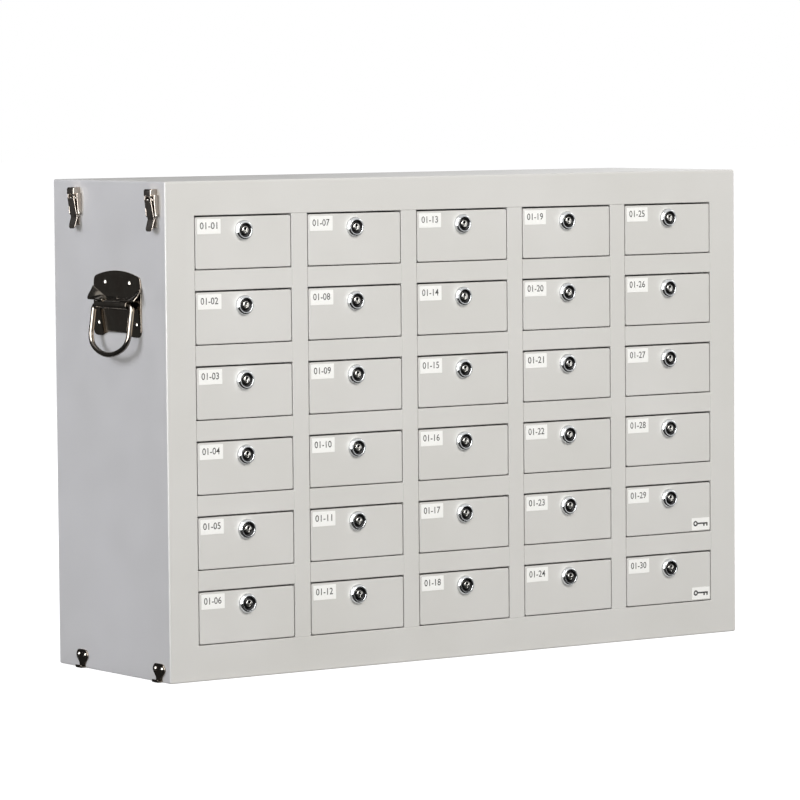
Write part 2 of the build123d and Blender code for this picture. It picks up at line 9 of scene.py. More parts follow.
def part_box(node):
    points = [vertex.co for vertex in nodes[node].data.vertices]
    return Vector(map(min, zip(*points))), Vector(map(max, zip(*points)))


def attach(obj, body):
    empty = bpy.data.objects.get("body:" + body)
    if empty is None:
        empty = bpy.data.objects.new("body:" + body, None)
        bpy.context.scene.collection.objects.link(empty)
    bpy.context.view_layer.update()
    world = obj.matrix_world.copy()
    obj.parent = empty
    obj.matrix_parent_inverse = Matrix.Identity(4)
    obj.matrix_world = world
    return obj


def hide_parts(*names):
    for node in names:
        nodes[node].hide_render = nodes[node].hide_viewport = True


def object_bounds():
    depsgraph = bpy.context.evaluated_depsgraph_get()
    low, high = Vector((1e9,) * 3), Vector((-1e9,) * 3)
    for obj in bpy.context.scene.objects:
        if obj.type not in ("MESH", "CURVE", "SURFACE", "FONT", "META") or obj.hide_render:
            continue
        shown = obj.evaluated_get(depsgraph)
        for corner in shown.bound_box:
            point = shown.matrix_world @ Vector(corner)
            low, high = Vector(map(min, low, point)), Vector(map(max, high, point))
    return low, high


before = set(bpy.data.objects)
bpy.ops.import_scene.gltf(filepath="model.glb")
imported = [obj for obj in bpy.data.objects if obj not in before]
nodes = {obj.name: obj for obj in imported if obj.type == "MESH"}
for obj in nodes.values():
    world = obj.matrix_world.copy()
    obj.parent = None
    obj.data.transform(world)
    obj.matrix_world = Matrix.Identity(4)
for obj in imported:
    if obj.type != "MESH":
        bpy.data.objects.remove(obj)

# A cell phone locker box: light grey powder-coated sheet steel, thirty small doors with chrome cam locks
# and black nickel hardware on both ends. Shapes are worked out in millimetres and stored in metres.
mm = 0.001
cadLow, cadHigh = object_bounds()

camera = {
    "focal": 204.888,                               # on Blender's 36 mm sensor
    "place": (-2725.47, -3944.59, 587.42),
    "azimuth": -34.5954, "elevation": 3.8841, "roll": -0.4788,
}


def addObject(name, data):
    thing = bpy.data.objects.new(name, data)
    bpy.context.scene.collection.objects.link(thing)
    return thing


def makeCamera():
    azimuth, elevation, roll = (math.radians(camera[key]) for key in ("azimuth", "elevation", "roll"))
    level = math.cos(elevation)
    back = Vector((math.sin(azimuth) * level, -math.cos(azimuth) * level, math.sin(elevation)))
    right = Vector((math.cos(azimuth), math.sin(azimuth), 0))
    up = back.cross(right)
    rolledRight = math.cos(roll) * right + math.sin(roll) * up
    rolledUp = math.cos(roll) * up - math.sin(roll) * right
    data = bpy.data.cameras.new("camera")
    data.lens = camera["focal"]
    data.clip_start, data.clip_end = 0.1, 100
    taker = addObject("camera", data)
    taker.matrix_world = Matrix((rolledRight, rolledUp, back)).transposed().to_4x4()
    taker.location = Vector(camera["place"]) * mm
    bpy.context.scene.camera = taker


makeCamera()
print("camera placed")


def linearColour(hexText):
    # sRGB to linear light: c / 12.92 near black, ((c + 0.055) / 1.055) to the power 2.4 above it
    srgb = np.array([int(hexText[start:start + 2], 16) for start in (1, 3, 5)]) / 255
    light = np.where(srgb <= 0.04045, srgb / 12.92, ((srgb + 0.055) / 1.055) ** 2.4)
    return (*light.tolist(), 1.0)


def newMaterial(name):
    material = bpy.data.materials.new(name)
    material.use_nodes = True
    material.node_tree.nodes.clear()
    return material


def addNode(material, kind, inputs=None, **settings):
    # adds one node: an input that is another node's output is wired, any other value is set on its socket
    tree = material.node_tree
    node = tree.nodes.new("ShaderNode" + kind)
    for name, value in settings.items():
        setattr(node, name, value)
    for name, value in (inputs or {}).items():
        if isinstance(value, bpy.types.NodeSocket):
            tree.links.new(value, node.inputs[name])
        else:
            node.inputs[name].default_value = value
    return node


def addNoise(material, place, size, detail=2.0):
    # noise whose blobs are about the given size in millimetres
    inputs = {"Vector": place, "Scale": 1 / (size * mm), "Detail": detail}
    return addNode(material, "TexNoise", inputs).outputs["Fac"]


def addRange(material, value, low, high, fromLow=0.3, fromHigh=0.7):
    # carries a range of values on to another; most noise lies between 0.3 and 0.7
    inputs = {"Value": value, "From Min": fromLow, "From Max": fromHigh, "To Min": low, "To Max": high}
    return addNode(material, "MapRange", inputs).outputs["Result"]


def addBlend(material, share, first, second):
    # mixes two colours by a share from 0 to 1
    mix = addNode(material, "Mix", {0: share}, data_type="RGBA")
    mix.inputs[6].default_value = linearColour(first)
    mix.inputs[7].default_value = linearColour(second)
    return mix.outputs[2]


def addBump(material, height, depth, below=None):
    inputs = {"Height": height, "Distance": depth * mm, "Strength": 1.0}
    if below is not None:
        inputs["Normal"] = below
    return addNode(material, "Bump", inputs).outputs["Normal"]


def finishMaterial(material, shader):
    addNode(material, "OutputMaterial", {"Surface": shader.outputs[0]})
    return material


# Polyester powder coat, sprayed and baked: an even satin light grey with a fine orange peel.
# The peel is what breaks up its soft reflections; the coat's thickness drifts slightly across a panel.
powderCoat = {
    "thin": "#D3D2CF", "thick": "#D8D7D5", "driftSize": 140.0,
    "peelSize": 2.8, "peelDepth": 0.014,            # real peel is 2 to 4 mm from crest to crest
    "grainSize": 0.8, "grainDepth": 0.0025,
    "satin": 0.40, "satinDrift": 0.05, "ior": 1.5,
}


def makePowderCoat(name, look):
    material = newMaterial(name)
    place = addNode(material, "TexCoord").outputs["Object"]
    drift = addNoise(material, place, look["driftSize"])
    colour = addBlend(material, addRange(material, drift, 0, 1), look["thin"], look["thick"])
    peel = addBump(material, addNoise(material, place, look["peelSize"]), look["peelDepth"])
    grain = addBump(material, addNoise(material, place, look["grainSize"]), look["grainDepth"], peel)
    satin = addRange(material, addNoise(material, place, look["driftSize"] / 4),
                     look["satin"] - look["satinDrift"], look["satin"] + look["satinDrift"])
    inputs = {"Base Color": colour, "Roughness": satin, "Normal": grain, "IOR": look["ior"]}
    return finishMaterial(material, addNode(material, "BsdfPrincipled", inputs))


# Plated and bare metals share one build-up: two tones of the plating, faint waves left by the press or
# the polishing wheel, and handling marks that show only as changes of gloss.
platings = {
    # smoked nickel over pressed steel: near black where it faces shade, beige where it faces a lamp
    "smokedNickel": {"tones": ("#7E7970", "#756C63"), "toneSize": 14.0, "waveSize": 9.0, "waveDepth": 0.005,
                     "scratchSize": 0.5, "scratchDepth": 0.0008, "gloss": (0.10, 0.17), "smudgeSize": 5.0},
    # clear nickel of the latches: their front walls come out light and their outer faces dark
    "latchNickel": {"tones": ("#B3ACA4", "#A1988F"), "toneSize": 10.0, "waveSize": 7.0, "waveDepth": 0.004,
                    "scratchSize": 0.5, "scratchDepth": 0.0008, "gloss": (0.11, 0.18), "smudgeSize": 4.0},
    # the smoked nickel on the drawn bar of the rings, polished before it is plated
    "barNickel": {"tones": ("#7A766F", "#6E6760"), "toneSize": 16.0, "waveSize": 12.0, "waveDepth": 0.003,
                  "scratchSize": 0.4, "scratchDepth": 0.0006, "gloss": (0.07, 0.12), "smudgeSize": 5.0},
    # bright chrome over die-cast zinc: white highlights with hard dark edges
    "chrome": {"tones": ("#D6D8D9", "#C9CBCD"), "toneSize": 9.0, "waveSize": 5.0, "waveDepth": 0.006,
               "scratchSize": 0.4, "scratchDepth": 0.0006, "gloss": (0.07, 0.13), "smudgeSize": 3.0},
    # painted shade for the recess round the plug, the plug's key slot and its annulus: dark and dull where
    # shade falls
    "paintedShadeRecess": {"tones": ("#343435", "#242425"), "toneSize": 3.0, "waveSize": 2.0, "waveDepth": 0.004,
                   "scratchSize": 0.35, "scratchDepth": 0.001, "gloss": (0.34, 0.46), "smudgeSize": 2.0},
    # nickelled brass of the plugs: a little warmer and duller, brushed by keys
    "plugNickel": {"tones": ("#D2D1CD", "#C2C0BA"), "toneSize": 3.0, "waveSize": 2.0, "waveDepth": 0.004,
                   "scratchSize": 0.35, "scratchDepth": 0.001, "gloss": (0.16, 0.26), "smudgeSize": 1.5},
    # nickelled steel rivets, domed by the riveting tool
    "rivetNickel": {"tones": ("#8A8782", "#7A756E"), "toneSize": 4.0, "waveSize": 3.0, "waveDepth": 0.002,
                    "scratchSize": 0.4, "scratchDepth": 0.0006, "gloss": (0.10, 0.16), "smudgeSize": 2.0},
    # drawn steel wire of the hinge pins, zinc passivated
    "pinSteel": {"tones": ("#A9A9A6", "#94948F"), "toneSize": 2.0, "waveSize": 1.5, "waveDepth": 0.004,
                 "scratchSize": 0.3, "scratchDepth": 0.003, "gloss": (0.28, 0.42), "smudgeSize": 2.0},
}
scratchStretch = (1.0, 1.0, 0.12)                   # polishing marks run up and down the part


def makePlating(name):
    look = platings[name]
    material = newMaterial(name)
    place = addNode(material, "TexCoord").outputs["Object"]
    toneShare = addRange(material, addNoise(material, place, look["toneSize"]), 0, 1)
    colour = addBlend(material, toneShare, *look["tones"])
    wave = addBump(material, addNoise(material, place, look["waveSize"], 1.0), look["waveDepth"])
    stretched = addNode(material, "Mapping", {"Vector": place, "Scale": scratchStretch}).outputs["Vector"]
    mark = addNoise(material, stretched, look["scratchSize"])
    scratch = addBump(material, mark, look["scratchDepth"], wave)
    gloss = addRange(material, addNoise(material, place, look["smudgeSize"], 4.0), *look["gloss"])
    inputs = {"Base Color": colour, "Metallic": 1.0, "Roughness": gloss, "Normal": scratch}
    return finishMaterial(material, addNode(material, "BsdfPrincipled", inputs))


# Label paper, calendered and matt white; its fibres are 0.05 mm wide and drawn ten times that to show.
labelPaper = {"tones": ("#FCFCFB", "#F6F6F4"), "fibreSize": 0.5, "fibreDepth": 0.004, "roughness": 0.55}


def makeLabelPaper():
    look = labelPaper
    material = newMaterial("labelPaper")
    place = addNode(material, "TexCoord").outputs["Object"]
    fibre = addNoise(material, place, look["fibreSize"], 3.0)
    colour = addBlend(material, addRange(material, fibre, 0, 1), *look["tones"])
    normal = addBump(material, fibre, look["fibreDepth"])
    inputs = {"Base Color": colour, "Roughness": look["roughness"], "Normal": normal}
    return finishMaterial(material, addNode(material, "BsdfPrincipled", inputs))


# Black toner, fused on: it is a little thin in places, where the paper greys it.
toner = {"tones": ("#3E3E3E", "#626262"), "speckSize": 0.35, "thinRange": (0.45, 0.75), "roughness": 0.45}


def makeToner():
    material = newMaterial("toner")
    place = addNode(material, "TexCoord").outputs["Object"]
    speck = addNoise(material, place, toner["speckSize"], 3.0)
    thin = addRange(material, speck, 0, 1, *toner["thinRange"])
    colour = addBlend(material, thin, *toner["tones"])
    inputs = {"Base Color": colour, "Roughness": toner["roughness"]}
    return finishMaterial(material, addNode(material, "BsdfPrincipled", inputs))


cabinetPaint = makePowderCoat("cabinetPowderCoat", powderCoat)
doorPaint = makePowderCoat("doorPowderCoat", {**powderCoat, "peelSize": 2.5})
metals = {name: makePlating(name) for name in platings}
paper, ink = makeLabelPaper(), makeToner()
print("materials made:", len(bpy.data.materials))


def gridFaces(rows, columns, wrapRows, wrapColumns):
    # each four neighbours of a grid of points make a face
    index = np.arange(rows * columns).reshape(rows, columns)
    index = np.vstack([index, index[:1]]) if wrapRows else index
    index = np.hstack([index, index[:, :1]]) if wrapColumns else index
    corners = [index[:-1, :-1], index[1:, :-1], index[1:, 1:], index[:-1, 1:]]
    return np.stack(corners, axis=-1).reshape(-1, 4).tolist()


def closedTube(rings):
    # rings of points whose last joins the first, as in a link or a washer
    rings = np.asarray(rings, float)
    return rings.reshape(-1, 3), gridFaces(*rings.shape[:2], True, True)


def cappedTube(rings):
    # rings of points with the first and last ring filled
    rings = np.asarray(rings, float)
    rows, columns = rings.shape[:2]
    ends = [list(range(columns)), list(range((rows - 1) * columns, rows * columns))]
    return rings.reshape(-1, 3), gridFaces(rows, columns, False, True) + ends


def moved(shell, offset):
    return shell[0] + np.asarray(offset, float), shell[1]


def makePiece(name, shells, material, body, replaced=()):
    # joins closed shells, given in millimetres, into one mesh that rides on a body: the quads between two
    # rings are shaded smooth, and the flat faces that close their ends are shaded flat
    vertices, faces = [], []
    for points, polygons in shells:
        start = sum(len(block) for block in vertices)
        vertices.append(points)
        faces += [[start + corner for corner in polygon] for polygon in polygons]
    mesh = bpy.data.meshes.new(name)
    mesh.from_pydata((np.vstack(vertices) * mm).tolist(), [], faces)
    work = bmesh.new()
    work.from_mesh(mesh)
    bmesh.ops.recalc_face_normals(work, faces=work.faces)
    work.to_mesh(mesh)
    work.free()
    mesh.polygons.foreach_set("use_smooth", np.array([len(polygon) == 4 for polygon in faces]))
    mesh.materials.append(material)
    piece = addObject(name, mesh)
    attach(piece, body)
    if replaced:
        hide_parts(*replaced)
    return piece


def roundedRectangle(width, height, corner, cornerSteps, sideSteps):
    # four quarter circles about the corners' centres, joined by evenly divided straight sides
    angles = np.radians(np.arange(4)[:, None] * 90 + np.linspace(0, 90, cornerSteps + 1))
    signs = np.array([[1, 1], [-1, 1], [-1, -1], [1, -1]])[:, None, :]
    centres = signs * (np.array([width, height]) / 2 - corner)
    corners = centres + corner * np.stack([np.cos(angles), np.sin(angles)], axis=-1)
    share = np.linspace(0, 1, sideSteps + 2)[1:-1][None, :, None]
    sides = corners[:, -1:] * (1 - share) + np.roll(corners[:, :1], -1, axis=0) * share
    return np.concatenate([corners, sides], axis=1).reshape(-1, 2)


def arc(centre, radius, start, finish, count):
    # points on a circle, between two angles in degrees
    angle = np.radians(np.linspace(start, finish, count))
    return np.asarray(centre) + radius * np.column_stack([np.cos(angle), np.sin(angle)])


def circle(steps):
    # a circle of radius 1 about the origin
    return arc((0, 0), 1, 0, 360, steps + 1)[:-1]


def rectangle(left, right, low, high):
    return [(left, low), (right, low), (right, high), (left, high)]


def upright(*levels):
    # rings from outlines in X and Z, each with its depth
    return [np.stack([outline[:, 0], np.full(len(outline), float(y)), outline[:, 1]], axis=1)
            for outline, y in levels]


def turned(profile, steps):
    # carries a profile of (radius, depth) points round the Y axis
    angle = np.linspace(0, 2 * np.pi, steps, endpoint=False)
    radius, depth = np.asarray(profile, float).T
    across, up = np.outer(radius, np.cos(angle)), np.outer(radius, np.sin(angle))
    return np.stack([across, np.repeat(depth[:, None], steps, axis=1), up], axis=-1)


def towards(outline, radius):
    # the point on a circle about the origin that lies in each outline point's direction
    return outline * (radius / np.linalg.norm(outline, axis=1))[:, None]


door = {
    "depth": 12.0, "sheet": 1.0, "corner": 2.0, "leastCorner": 0.3, "fold": 0.9, "rim": 0.15,
    "support": 0.7,                                 # flat strip beside a fold, so that the flats stay flat
    "foldSteps": 5, "cornerSteps": 6, "sideSteps": 7,
    "lockHole": 8.1, "holeFlat": 8.9,
}
bezel = {
    "proud": 4.5, "base": 10.0, "face": 8.25, "rim": 0.6, "bulge": 0.7, "edge": 0.2,
    "recess": 7.0, "recessDepth": 2.0, "bore": 5.05, "barrel": 8.0, "length": 17.3, "drop": 13.9,
    "shoulderSteps": 8, "turns": 48,
}
lockNut = {"flats": 20.0, "height": 4.0, "chamfer": 0.5}
nutSteps = 48
plug = {
    "radius": 5.0, "sink": 0.5, "slotDepth": 9.0, "edge": 0.15, "centre": 3.7, "annulusDepth": 0.5,
    "wardRise": 1.5, "wardRadius": 1.6, "slotWidth": 1.1, "slotFoot": 2.6, "wardSteps": 20, "slotSteps": 6,
}
cam = {"front": 17.6, "thickness": 1.8, "width": 10.0, "reach": 22.0, "stud": 3.0, "edge": 0.2, "steps": 40,
       "nutFlats": 9.0, "nutHeight": 2.0, "nutChamfer": 0.25}
card = {"width": 27.6, "height": 15.0, "inset": 2.0, "thickness": 0.3, "corner": 0.5, "edge": 0.08}
figures = {"height": 6.9, "thickness": 0.03, "proud": 0.009, "width": 20.6, "boldness": 0.006, "shift": -0.4,
           "lift": 0.8, "curveSteps": 3}
sticker = {"width": 24.0, "height": 13.0, "inset": 1.2}
keySign = {"bow": 3.0, "hole": 1.3, "shankLength": 16.4, "shank": 1.7, "tooth": 3.0, "toothWidth": 1.9,
           "toothPitch": 3.99, "overlap": 0.2, "corner": 0.1, "steps": 32, "lift": -0.2}


def doorPan(width, height, lockUp):
    # a rounded rectangle drawn in by an inset at each depth: from the lock's hole over the face, round the
    # fold, down the flange, round its rim and back up the inside to the hole again
    def outline(inset):
        corner = max(door["corner"] - inset, door["leastCorner"])
        return roundedRectangle(width - 2 * inset, height - 2 * inset, corner, door["cornerSteps"],
                                door["sideSteps"]) - np.array([0, lockUp])

    fold, sheet, depth, rim, support = (door[key] for key in ("fold", "sheet", "depth", "rim", "support"))
    turn = np.radians(np.linspace(0, 90, door["foldSteps"] + 1))
    steps = [(fold + support, 0.0)]
    steps += list(zip(fold * (1 - np.sin(turn)), fold * (1 - np.cos(turn))))
    steps += [(0, fold + support), (0, depth - rim), (rim, depth), (sheet - rim, depth), (sheet, depth - rim)]
    steps += [(sheet, sheet + support), (sheet, sheet + rim), (sheet + rim, sheet), (sheet + support, sheet)]
    levels = [(outline(inset), y) for inset, y in steps]
    hole, flat = (towards(outline(0), door[key]) for key in ("lockHole", "holeFlat"))
    return closedTube(upright((hole, 0), (flat, 0), *levels, (flat, sheet), (hole, sheet)))


def lockBezel():
    # the profile of a bezel whose shoulder bows out between rim and face, down to the recess round the plug
    base, face, proud, edge = (bezel[key] for key in ("base", "face", "proud", "edge"))
    recess = bezel["recess"]
    share = np.linspace(0, 1, bezel["shoulderSteps"] + 1)
    run, rise = proud - bezel["rim"], base - face
    bow = bezel["bulge"] * 4 * share * (1 - share) / math.hypot(run, rise)
    shoulder = np.stack([base - rise * share + run * bow, -bezel["rim"] - run * share - rise * bow], axis=1)
    shoulder[-1] = (face, edge - proud)
    return [(bezel["barrel"], 0), (base, 0), (base, -bezel["rim"] / 2), *shoulder.tolist(),
            (face - edge / 3, edge / 3 - proud), (face - edge, -proud), (face - 2 * edge, -proud),
            (recess + 2 * edge, -proud), (recess + edge, -proud), (recess, edge - proud)]


def lockBarrel():
    # the profile of the recess's wall and floor, the bore and the barrel behind the door
    proud, edge = bezel["proud"], bezel["edge"]
    recess, floor, bore = bezel["recess"], bezel["recessDepth"] - proud, bezel["bore"]
    return [(recess, edge - proud), (recess, floor - edge), (recess - edge, floor), (bore + edge, floor),
            (bore, floor + edge), (bore, bezel["length"]), (bezel["barrel"], bezel["length"]),
            (bezel["barrel"], 0)]


def hexagonNut(flats, bore, start, height, chamfer):
    # a ring between a round bore and a hexagon, whose corners are chamfered at both ends
    away = np.radians(np.mod(np.arange(nutSteps) * 360 / nutSteps, 60) - 30)
    reach = flats / 2 / np.cos(away)
    hexagon = circle(nutSteps) * reach[:, None]
    trimmed = circle(nutSteps) * np.minimum(reach, flats / 2 + chamfer / 2)[:, None]
    hole, end = circle(nutSteps) * bore, start + height
    return closedTube(upright((hole, start), (trimmed, start), (hexagon, start + chamfer),
                              (hexagon, end - chamfer), (trimmed, end), (hole, end)))


def plugBody():
    # a keyhole, a round ward over a straight slot, widened to a circle across the face and carried down
    # the plug's side to its stud
    face, edge, radius = plug["sink"] - bezel["proud"], plug["edge"], plug["radius"]

    def keyhole(grown):
        half, ward = plug["slotWidth"] / 2 + grown, plug["wardRadius"] + grown
        neck = math.degrees(math.asin(half / ward))
        top = arc((0, plug["wardRise"]), ward, neck - 90, 270 - neck, plug["wardSteps"])
        fall = np.linspace(top[-1, 1], -plug["slotFoot"] - grown, plug["slotSteps"] + 1)[1:]
        left = np.stack([np.full(len(fall), -half), fall], axis=1)
        return np.vstack([top, left, left[::-1] * np.array([-1, 1])])

    slot = keyhole(0)
    levels = [(slot, face + plug["slotDepth"]), (slot, face + 2 * edge), (slot, face + edge),
              (keyhole(edge), face), (keyhole(2 * edge), face)]
    centre, annulus = plug["centre"], face + plug["annulusDepth"]
    ends = [(centre - edge, face), (centre, face + edge), (centre, annulus), (radius - edge, annulus),
            (radius, annulus + edge), (radius, cam["front"]), (cam["stud"], cam["front"]),
            (cam["stud"], cam["front"] + cam["thickness"] + cam["nutHeight"])]
    return cappedTube(upright(*levels, *((towards(slot, size), y) for size, y in ends)))


def camPlate():
    # a washer round the stud stretched into a flat bar with a round end, pointing to the left
    washer = circle(cam["steps"])
    half, edge, front = cam["width"] / 2, cam["edge"], cam["front"]
    shift = np.where(washer[:, :1] < 0, [[half - cam["reach"], 0]], [[0, 0]])

    def bar(inset):
        return washer * (half - inset) + shift

    hole, back = washer * cam["stud"], front + cam["thickness"]
    return closedTube(upright((hole, front), (bar(edge), front), (bar(0), front + edge),
                              (bar(0), back - edge), (bar(edge), back), (hole, back)))


def label(width, height):
    # a thin sheet whose cut edge is just softened
    corner, edge, thick = card["corner"], card["edge"], card["thickness"]
    full = roundedRectangle(width, height, corner, 4, 1)
    small = roundedRectangle(width - 2 * edge, height - 2 * edge, corner, 4, 1)
    return cappedTube(upright((full, 0), (full, edge - thick), (small, -thick)))


def figureMesh(text):
    # plain figures as a thin raised mesh, scaled to their printed size and centred
    curve = bpy.data.curves.new("figures", "FONT")
    curve.body, curve.extrude = text, 0.5
    curve.resolution_u, curve.offset = figures["curveSteps"], figures["boldness"]
    carrier = addObject("figures", curve)
    bpy.context.view_layer.update()
    mesh = bpy.data.meshes.new_from_object(carrier.evaluated_get(bpy.context.evaluated_depsgraph_get()))
    flat = np.zeros(len(mesh.vertices) * 3)
    mesh.vertices.foreach_get("co", flat)
    faces = [list(polygon.vertices) for polygon in mesh.polygons]
    bpy.data.objects.remove(carrier)
    bpy.data.curves.remove(curve)
    bpy.data.meshes.remove(mesh)
    points = flat.reshape(-1, 3)
    low, high = points.min(0), points.max(0)
    size = np.array([figures["width"], figures["height"], figures["thickness"]])
    points = (points - (low + high) / 2) / (high - low) * size
    return points[:, [0, 2, 1]] * np.array([1, -1, 1]), faces


def keyPictogram():
    # a key sign: a ring for the bow, a straight shank and two teeth
    bow = [(keySign["hole"], 0), (keySign["bow"], 0), (keySign["bow"], -figures["thickness"]),
           (keySign["hole"], -figures["thickness"])]
    shells = [closedTube(turned(bow, keySign["steps"]))]
    start, end = keySign["bow"] - keySign["overlap"], keySign["shankLength"]
    bars = [((start + end) / 2, 0, end - start, keySign["shank"])]
    lastTooth = end - keySign["toothWidth"] / 2
    for place in (lastTooth, lastTooth - keySign["toothPitch"]):
        bars.append((place, -keySign["tooth"] / 2, keySign["toothWidth"], keySign["tooth"]))
    for x, z, width, height in bars:
        flat = roundedRectangle(width, height, keySign["corner"], 2, 0) + np.array([x, z])
        shells.append(cappedTube(upright((flat, 0), (flat, -figures["thickness"]))))
    return shells


def paintShadeRows(piece, steps, rows):
    # gives whole rows of a piece's quads a dark finish of painted shade, each row having the given number of
    # steps
    shadeMask = np.zeros(len(piece.data.polygons), int)
    for first, beyond in rows:
        shadeMask[first * steps:beyond * steps] = 1
    piece.data.materials.append(metals["paintedShadeRecess"])
    piece.data.polygons.foreach_set("material_index", shadeMask)
    return shadeMask


def makeLock(tag, lock, body, housing, nut):
    # the polished bezel and the recess inside it are one casting: the recess's wall and floor, the four rows
    # that follow the bezel's, get the dark finish as painted shade
    shells = [moved(housing, lock), moved(nut, lock)]
    casting = makePiece(f"lockHousing_{tag}", shells, metals["chrome"], body, [body])
    recess = len(lockBezel()) - 1
    paintShadeRows(casting, bezel["turns"], [(recess, recess + 4)])


def makePlug(tag, lock, turning, shells):
    # painted shade darkens the walls of a plug's key slot, the annulus round its face and the slot's inner
    # end, which is the first cap and so comes just after the plug's rows
    shells = [moved(shell, lock) for shell in shells]
    turner = makePiece(f"lockPlug_{tag}", shells, metals["plugNickel"], turning, [turning])
    steps, plugRows = plug["wardSteps"] + 2 * plug["slotSteps"], 12
    shadeMask = paintShadeRows(turner, steps, [(0, 2), (6, 9)])
    shadeMask[plugRows * steps] = 1
    turner.data.polygons.foreach_set("material_index", shadeMask)


def makeDoors():
    housing = closedTube(turned(lockBezel()[:-1] + lockBarrel()[:-1], bezel["turns"]))
    nut = hexagonNut(lockNut["flats"], bezel["barrel"], door["sheet"], lockNut["height"], lockNut["chamfer"])
    camNut = hexagonNut(cam["nutFlats"], cam["stud"], cam["front"] + cam["thickness"], cam["nutHeight"],
                        cam["nutChamfer"])
    turningShells = [plugBody(), camPlate(), camNut]
    cardShell, stickerShell = label(card["width"], card["height"]), label(sticker["width"], sticker["height"])
    key = keyPictogram()
    number = 0
    for column in range(1, 6):
        for row in range(1, 7):
            number += 1
            body = f"door_{column}_{row}"
            low, high = (np.array(corner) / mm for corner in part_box(body))
            face = low[1] + bezel["proud"]
            width, height = high[0] - low[0], high[2] - low[2]
            lock = np.array([(low[0] + high[0]) / 2, face, high[2] - bezel["drop"]])
            lockUp = lock[2] - (low[2] + high[2]) / 2
            tag = f"{column}_{row}"

            pan = moved(doorPan(width, height, lockUp), lock)
            makePiece(f"doorPan_{tag}", [pan], doorPaint, body, [body])
            makeLock(tag, lock, body, housing, nut)
            makePlug(tag, lock, f"lock_plug_{column}" if row == 1 else body, turningShells)

            middle = np.array([low[0] + card["inset"] + card["width"] / 2, face,
                               high[2] - card["inset"] - card["height"] / 2])
            makePiece(f"numberCard_{tag}", [moved(cardShell, middle)], paper, body, [body])
            over = np.array([figures["shift"], -card["thickness"] - figures["proud"], figures["lift"]])
            printed = moved(figureMesh(f"01-{number:02d}"), middle + over)
            makePiece(f"number_{tag}", [printed], ink, body)

            if column == 5 and row >= 5:
                middle = np.array([high[0] - sticker["inset"] - sticker["width"] / 2, face,
                                   low[2] + sticker["inset"] + sticker["height"] / 2])
                makePiece(f"spareSticker_{tag}", [moved(stickerShell, middle)], paper, body, [body])
                length = keySign["shankLength"] + keySign["bow"]
                shift = middle + over + np.array([keySign["bow"] - length / 2, 0, keySign["lift"]])
                makePiece(f"keySign_{tag}", [moved(shell, shift) for shell in key], ink, body)


makeDoors()
print("doors, locks and cards made")


# The hardware of the ends is drawn once, as reach off the side panel, depth along Y and height, and is
# carried to the right end as it is and to the left end with its reach turned over.
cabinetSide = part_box("right_side_panel")[1][0] / mm
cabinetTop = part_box("top_panel")[1][2] / mm
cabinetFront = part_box("top_panel")[0][1] / mm
ends = {"right": 1, "left": -1}


def onEnd(shell, end, place):
    reach, depth, height = (shell[0] + np.asarray(place, float)).T
    return np.stack([end * (cabinetSide + reach), depth, height], axis=1), shell[1]


def roundedCorners(corners, radii, steps=5):
    # replaces each corner of a closed outline by an arc that touches both of its sides
    corners = np.asarray(corners, float)
    radii = np.broadcast_to(np.asarray(radii, float), len(corners))[:, None]
    back = np.roll(corners, 1, axis=0) - corners
    ahead = np.roll(corners, -1, axis=0) - corners
    back /= np.linalg.norm(back, axis=1)[:, None]
    ahead /= np.linalg.norm(ahead, axis=1)[:, None]
    half = np.arccos(np.clip(np.sum(back * ahead, axis=1), -1, 1))[:, None] / 2
    middle = (back + ahead) / np.linalg.norm(back + ahead, axis=1)[:, None]
    centre = corners + middle * radii / np.sin(half)
    start = corners + back * radii / np.tan(half) - centre
    finish = corners + ahead * radii / np.tan(half) - centre
    turn = (np.pi - 2 * half)[:, None]
    share = np.linspace(0, 1, steps + 1)[None, :, None]
    fromStart, toFinish = np.sin((1 - share) * turn), np.sin(share * turn)
    arcs = (fromStart * start[:, None] + toFinish * finish[:, None]) / np.sin(turn)
    return (centre[:, None] + arcs).reshape(-1, 2)


def anticlockwise(outline):
    following = np.roll(outline, -1, axis=0)
    area = np.sum(outline[:, 0] * following[:, 1] - outline[:, 1] * following[:, 0])
    return outline if area > 0 else outline[::-1]


def mitres(outline):
    # at each point of an anticlockwise outline, the inward step that moves both its sides in by one
    ahead = np.roll(outline, -1, axis=0) - outline
    ahead /= np.linalg.norm(ahead, axis=1)[:, None]
    left = np.stack([-ahead[:, 1], ahead[:, 0]], axis=1)
    before = np.roll(left, 1, axis=0)
    return (left + before) / (1 + np.sum(left * before, axis=1))[:, None]


def drawnIn(outline, steps):
    # a solid whose outline is drawn in along its mitres, by an inset at each height
    outline = anticlockwise(np.asarray(outline, float))
    inward = mitres(outline)

    def level(inset, height):
        return np.column_stack([outline + inset * inward, np.full(len(outline), height)])

    return cappedTube([level(*step) for step in steps])


def slab(outline, low, high, edge, lowEdge=None):
    # a flat plate between two heights, whose edges are quarter circles at both faces, of a radius less than
    # that of its sharpest corner
    lowEdge = edge if lowEdge is None else lowEdge
    turn = np.radians(np.linspace(0, 90, 4))
    steps = list(zip(lowEdge * (1 - np.sin(turn)), low + lowEdge * (1 - np.cos(turn))))
    steps += list(zip(edge * (1 - np.sin(turn[::-1])), high - edge * (1 - np.cos(turn[::-1]))))
    return drawnIn(outline, steps)


def faceOn(shell):
    # a slab drawn in depth and height, whose thickness is its reach
    return shell[0][:, [2, 0, 1]], shell[1]


def sideOn(shell):
    # a slab drawn in reach and height, whose thickness is its depth
    return shell[0][:, [0, 2, 1]], shell[1]


def sideWalls(outline, inner, outer, edge):
    # two plates drawn in reach and height, one on each side of the middle
    return [sideOn(slab(outline, *sorted((way * inner, way * outer)), edge)) for way in (-1, 1)]


def reachTurned(profile, steps):
    # a turned part about an axis that stands off the side panel
    return turned(profile, steps)[..., [1, 0, 2]]


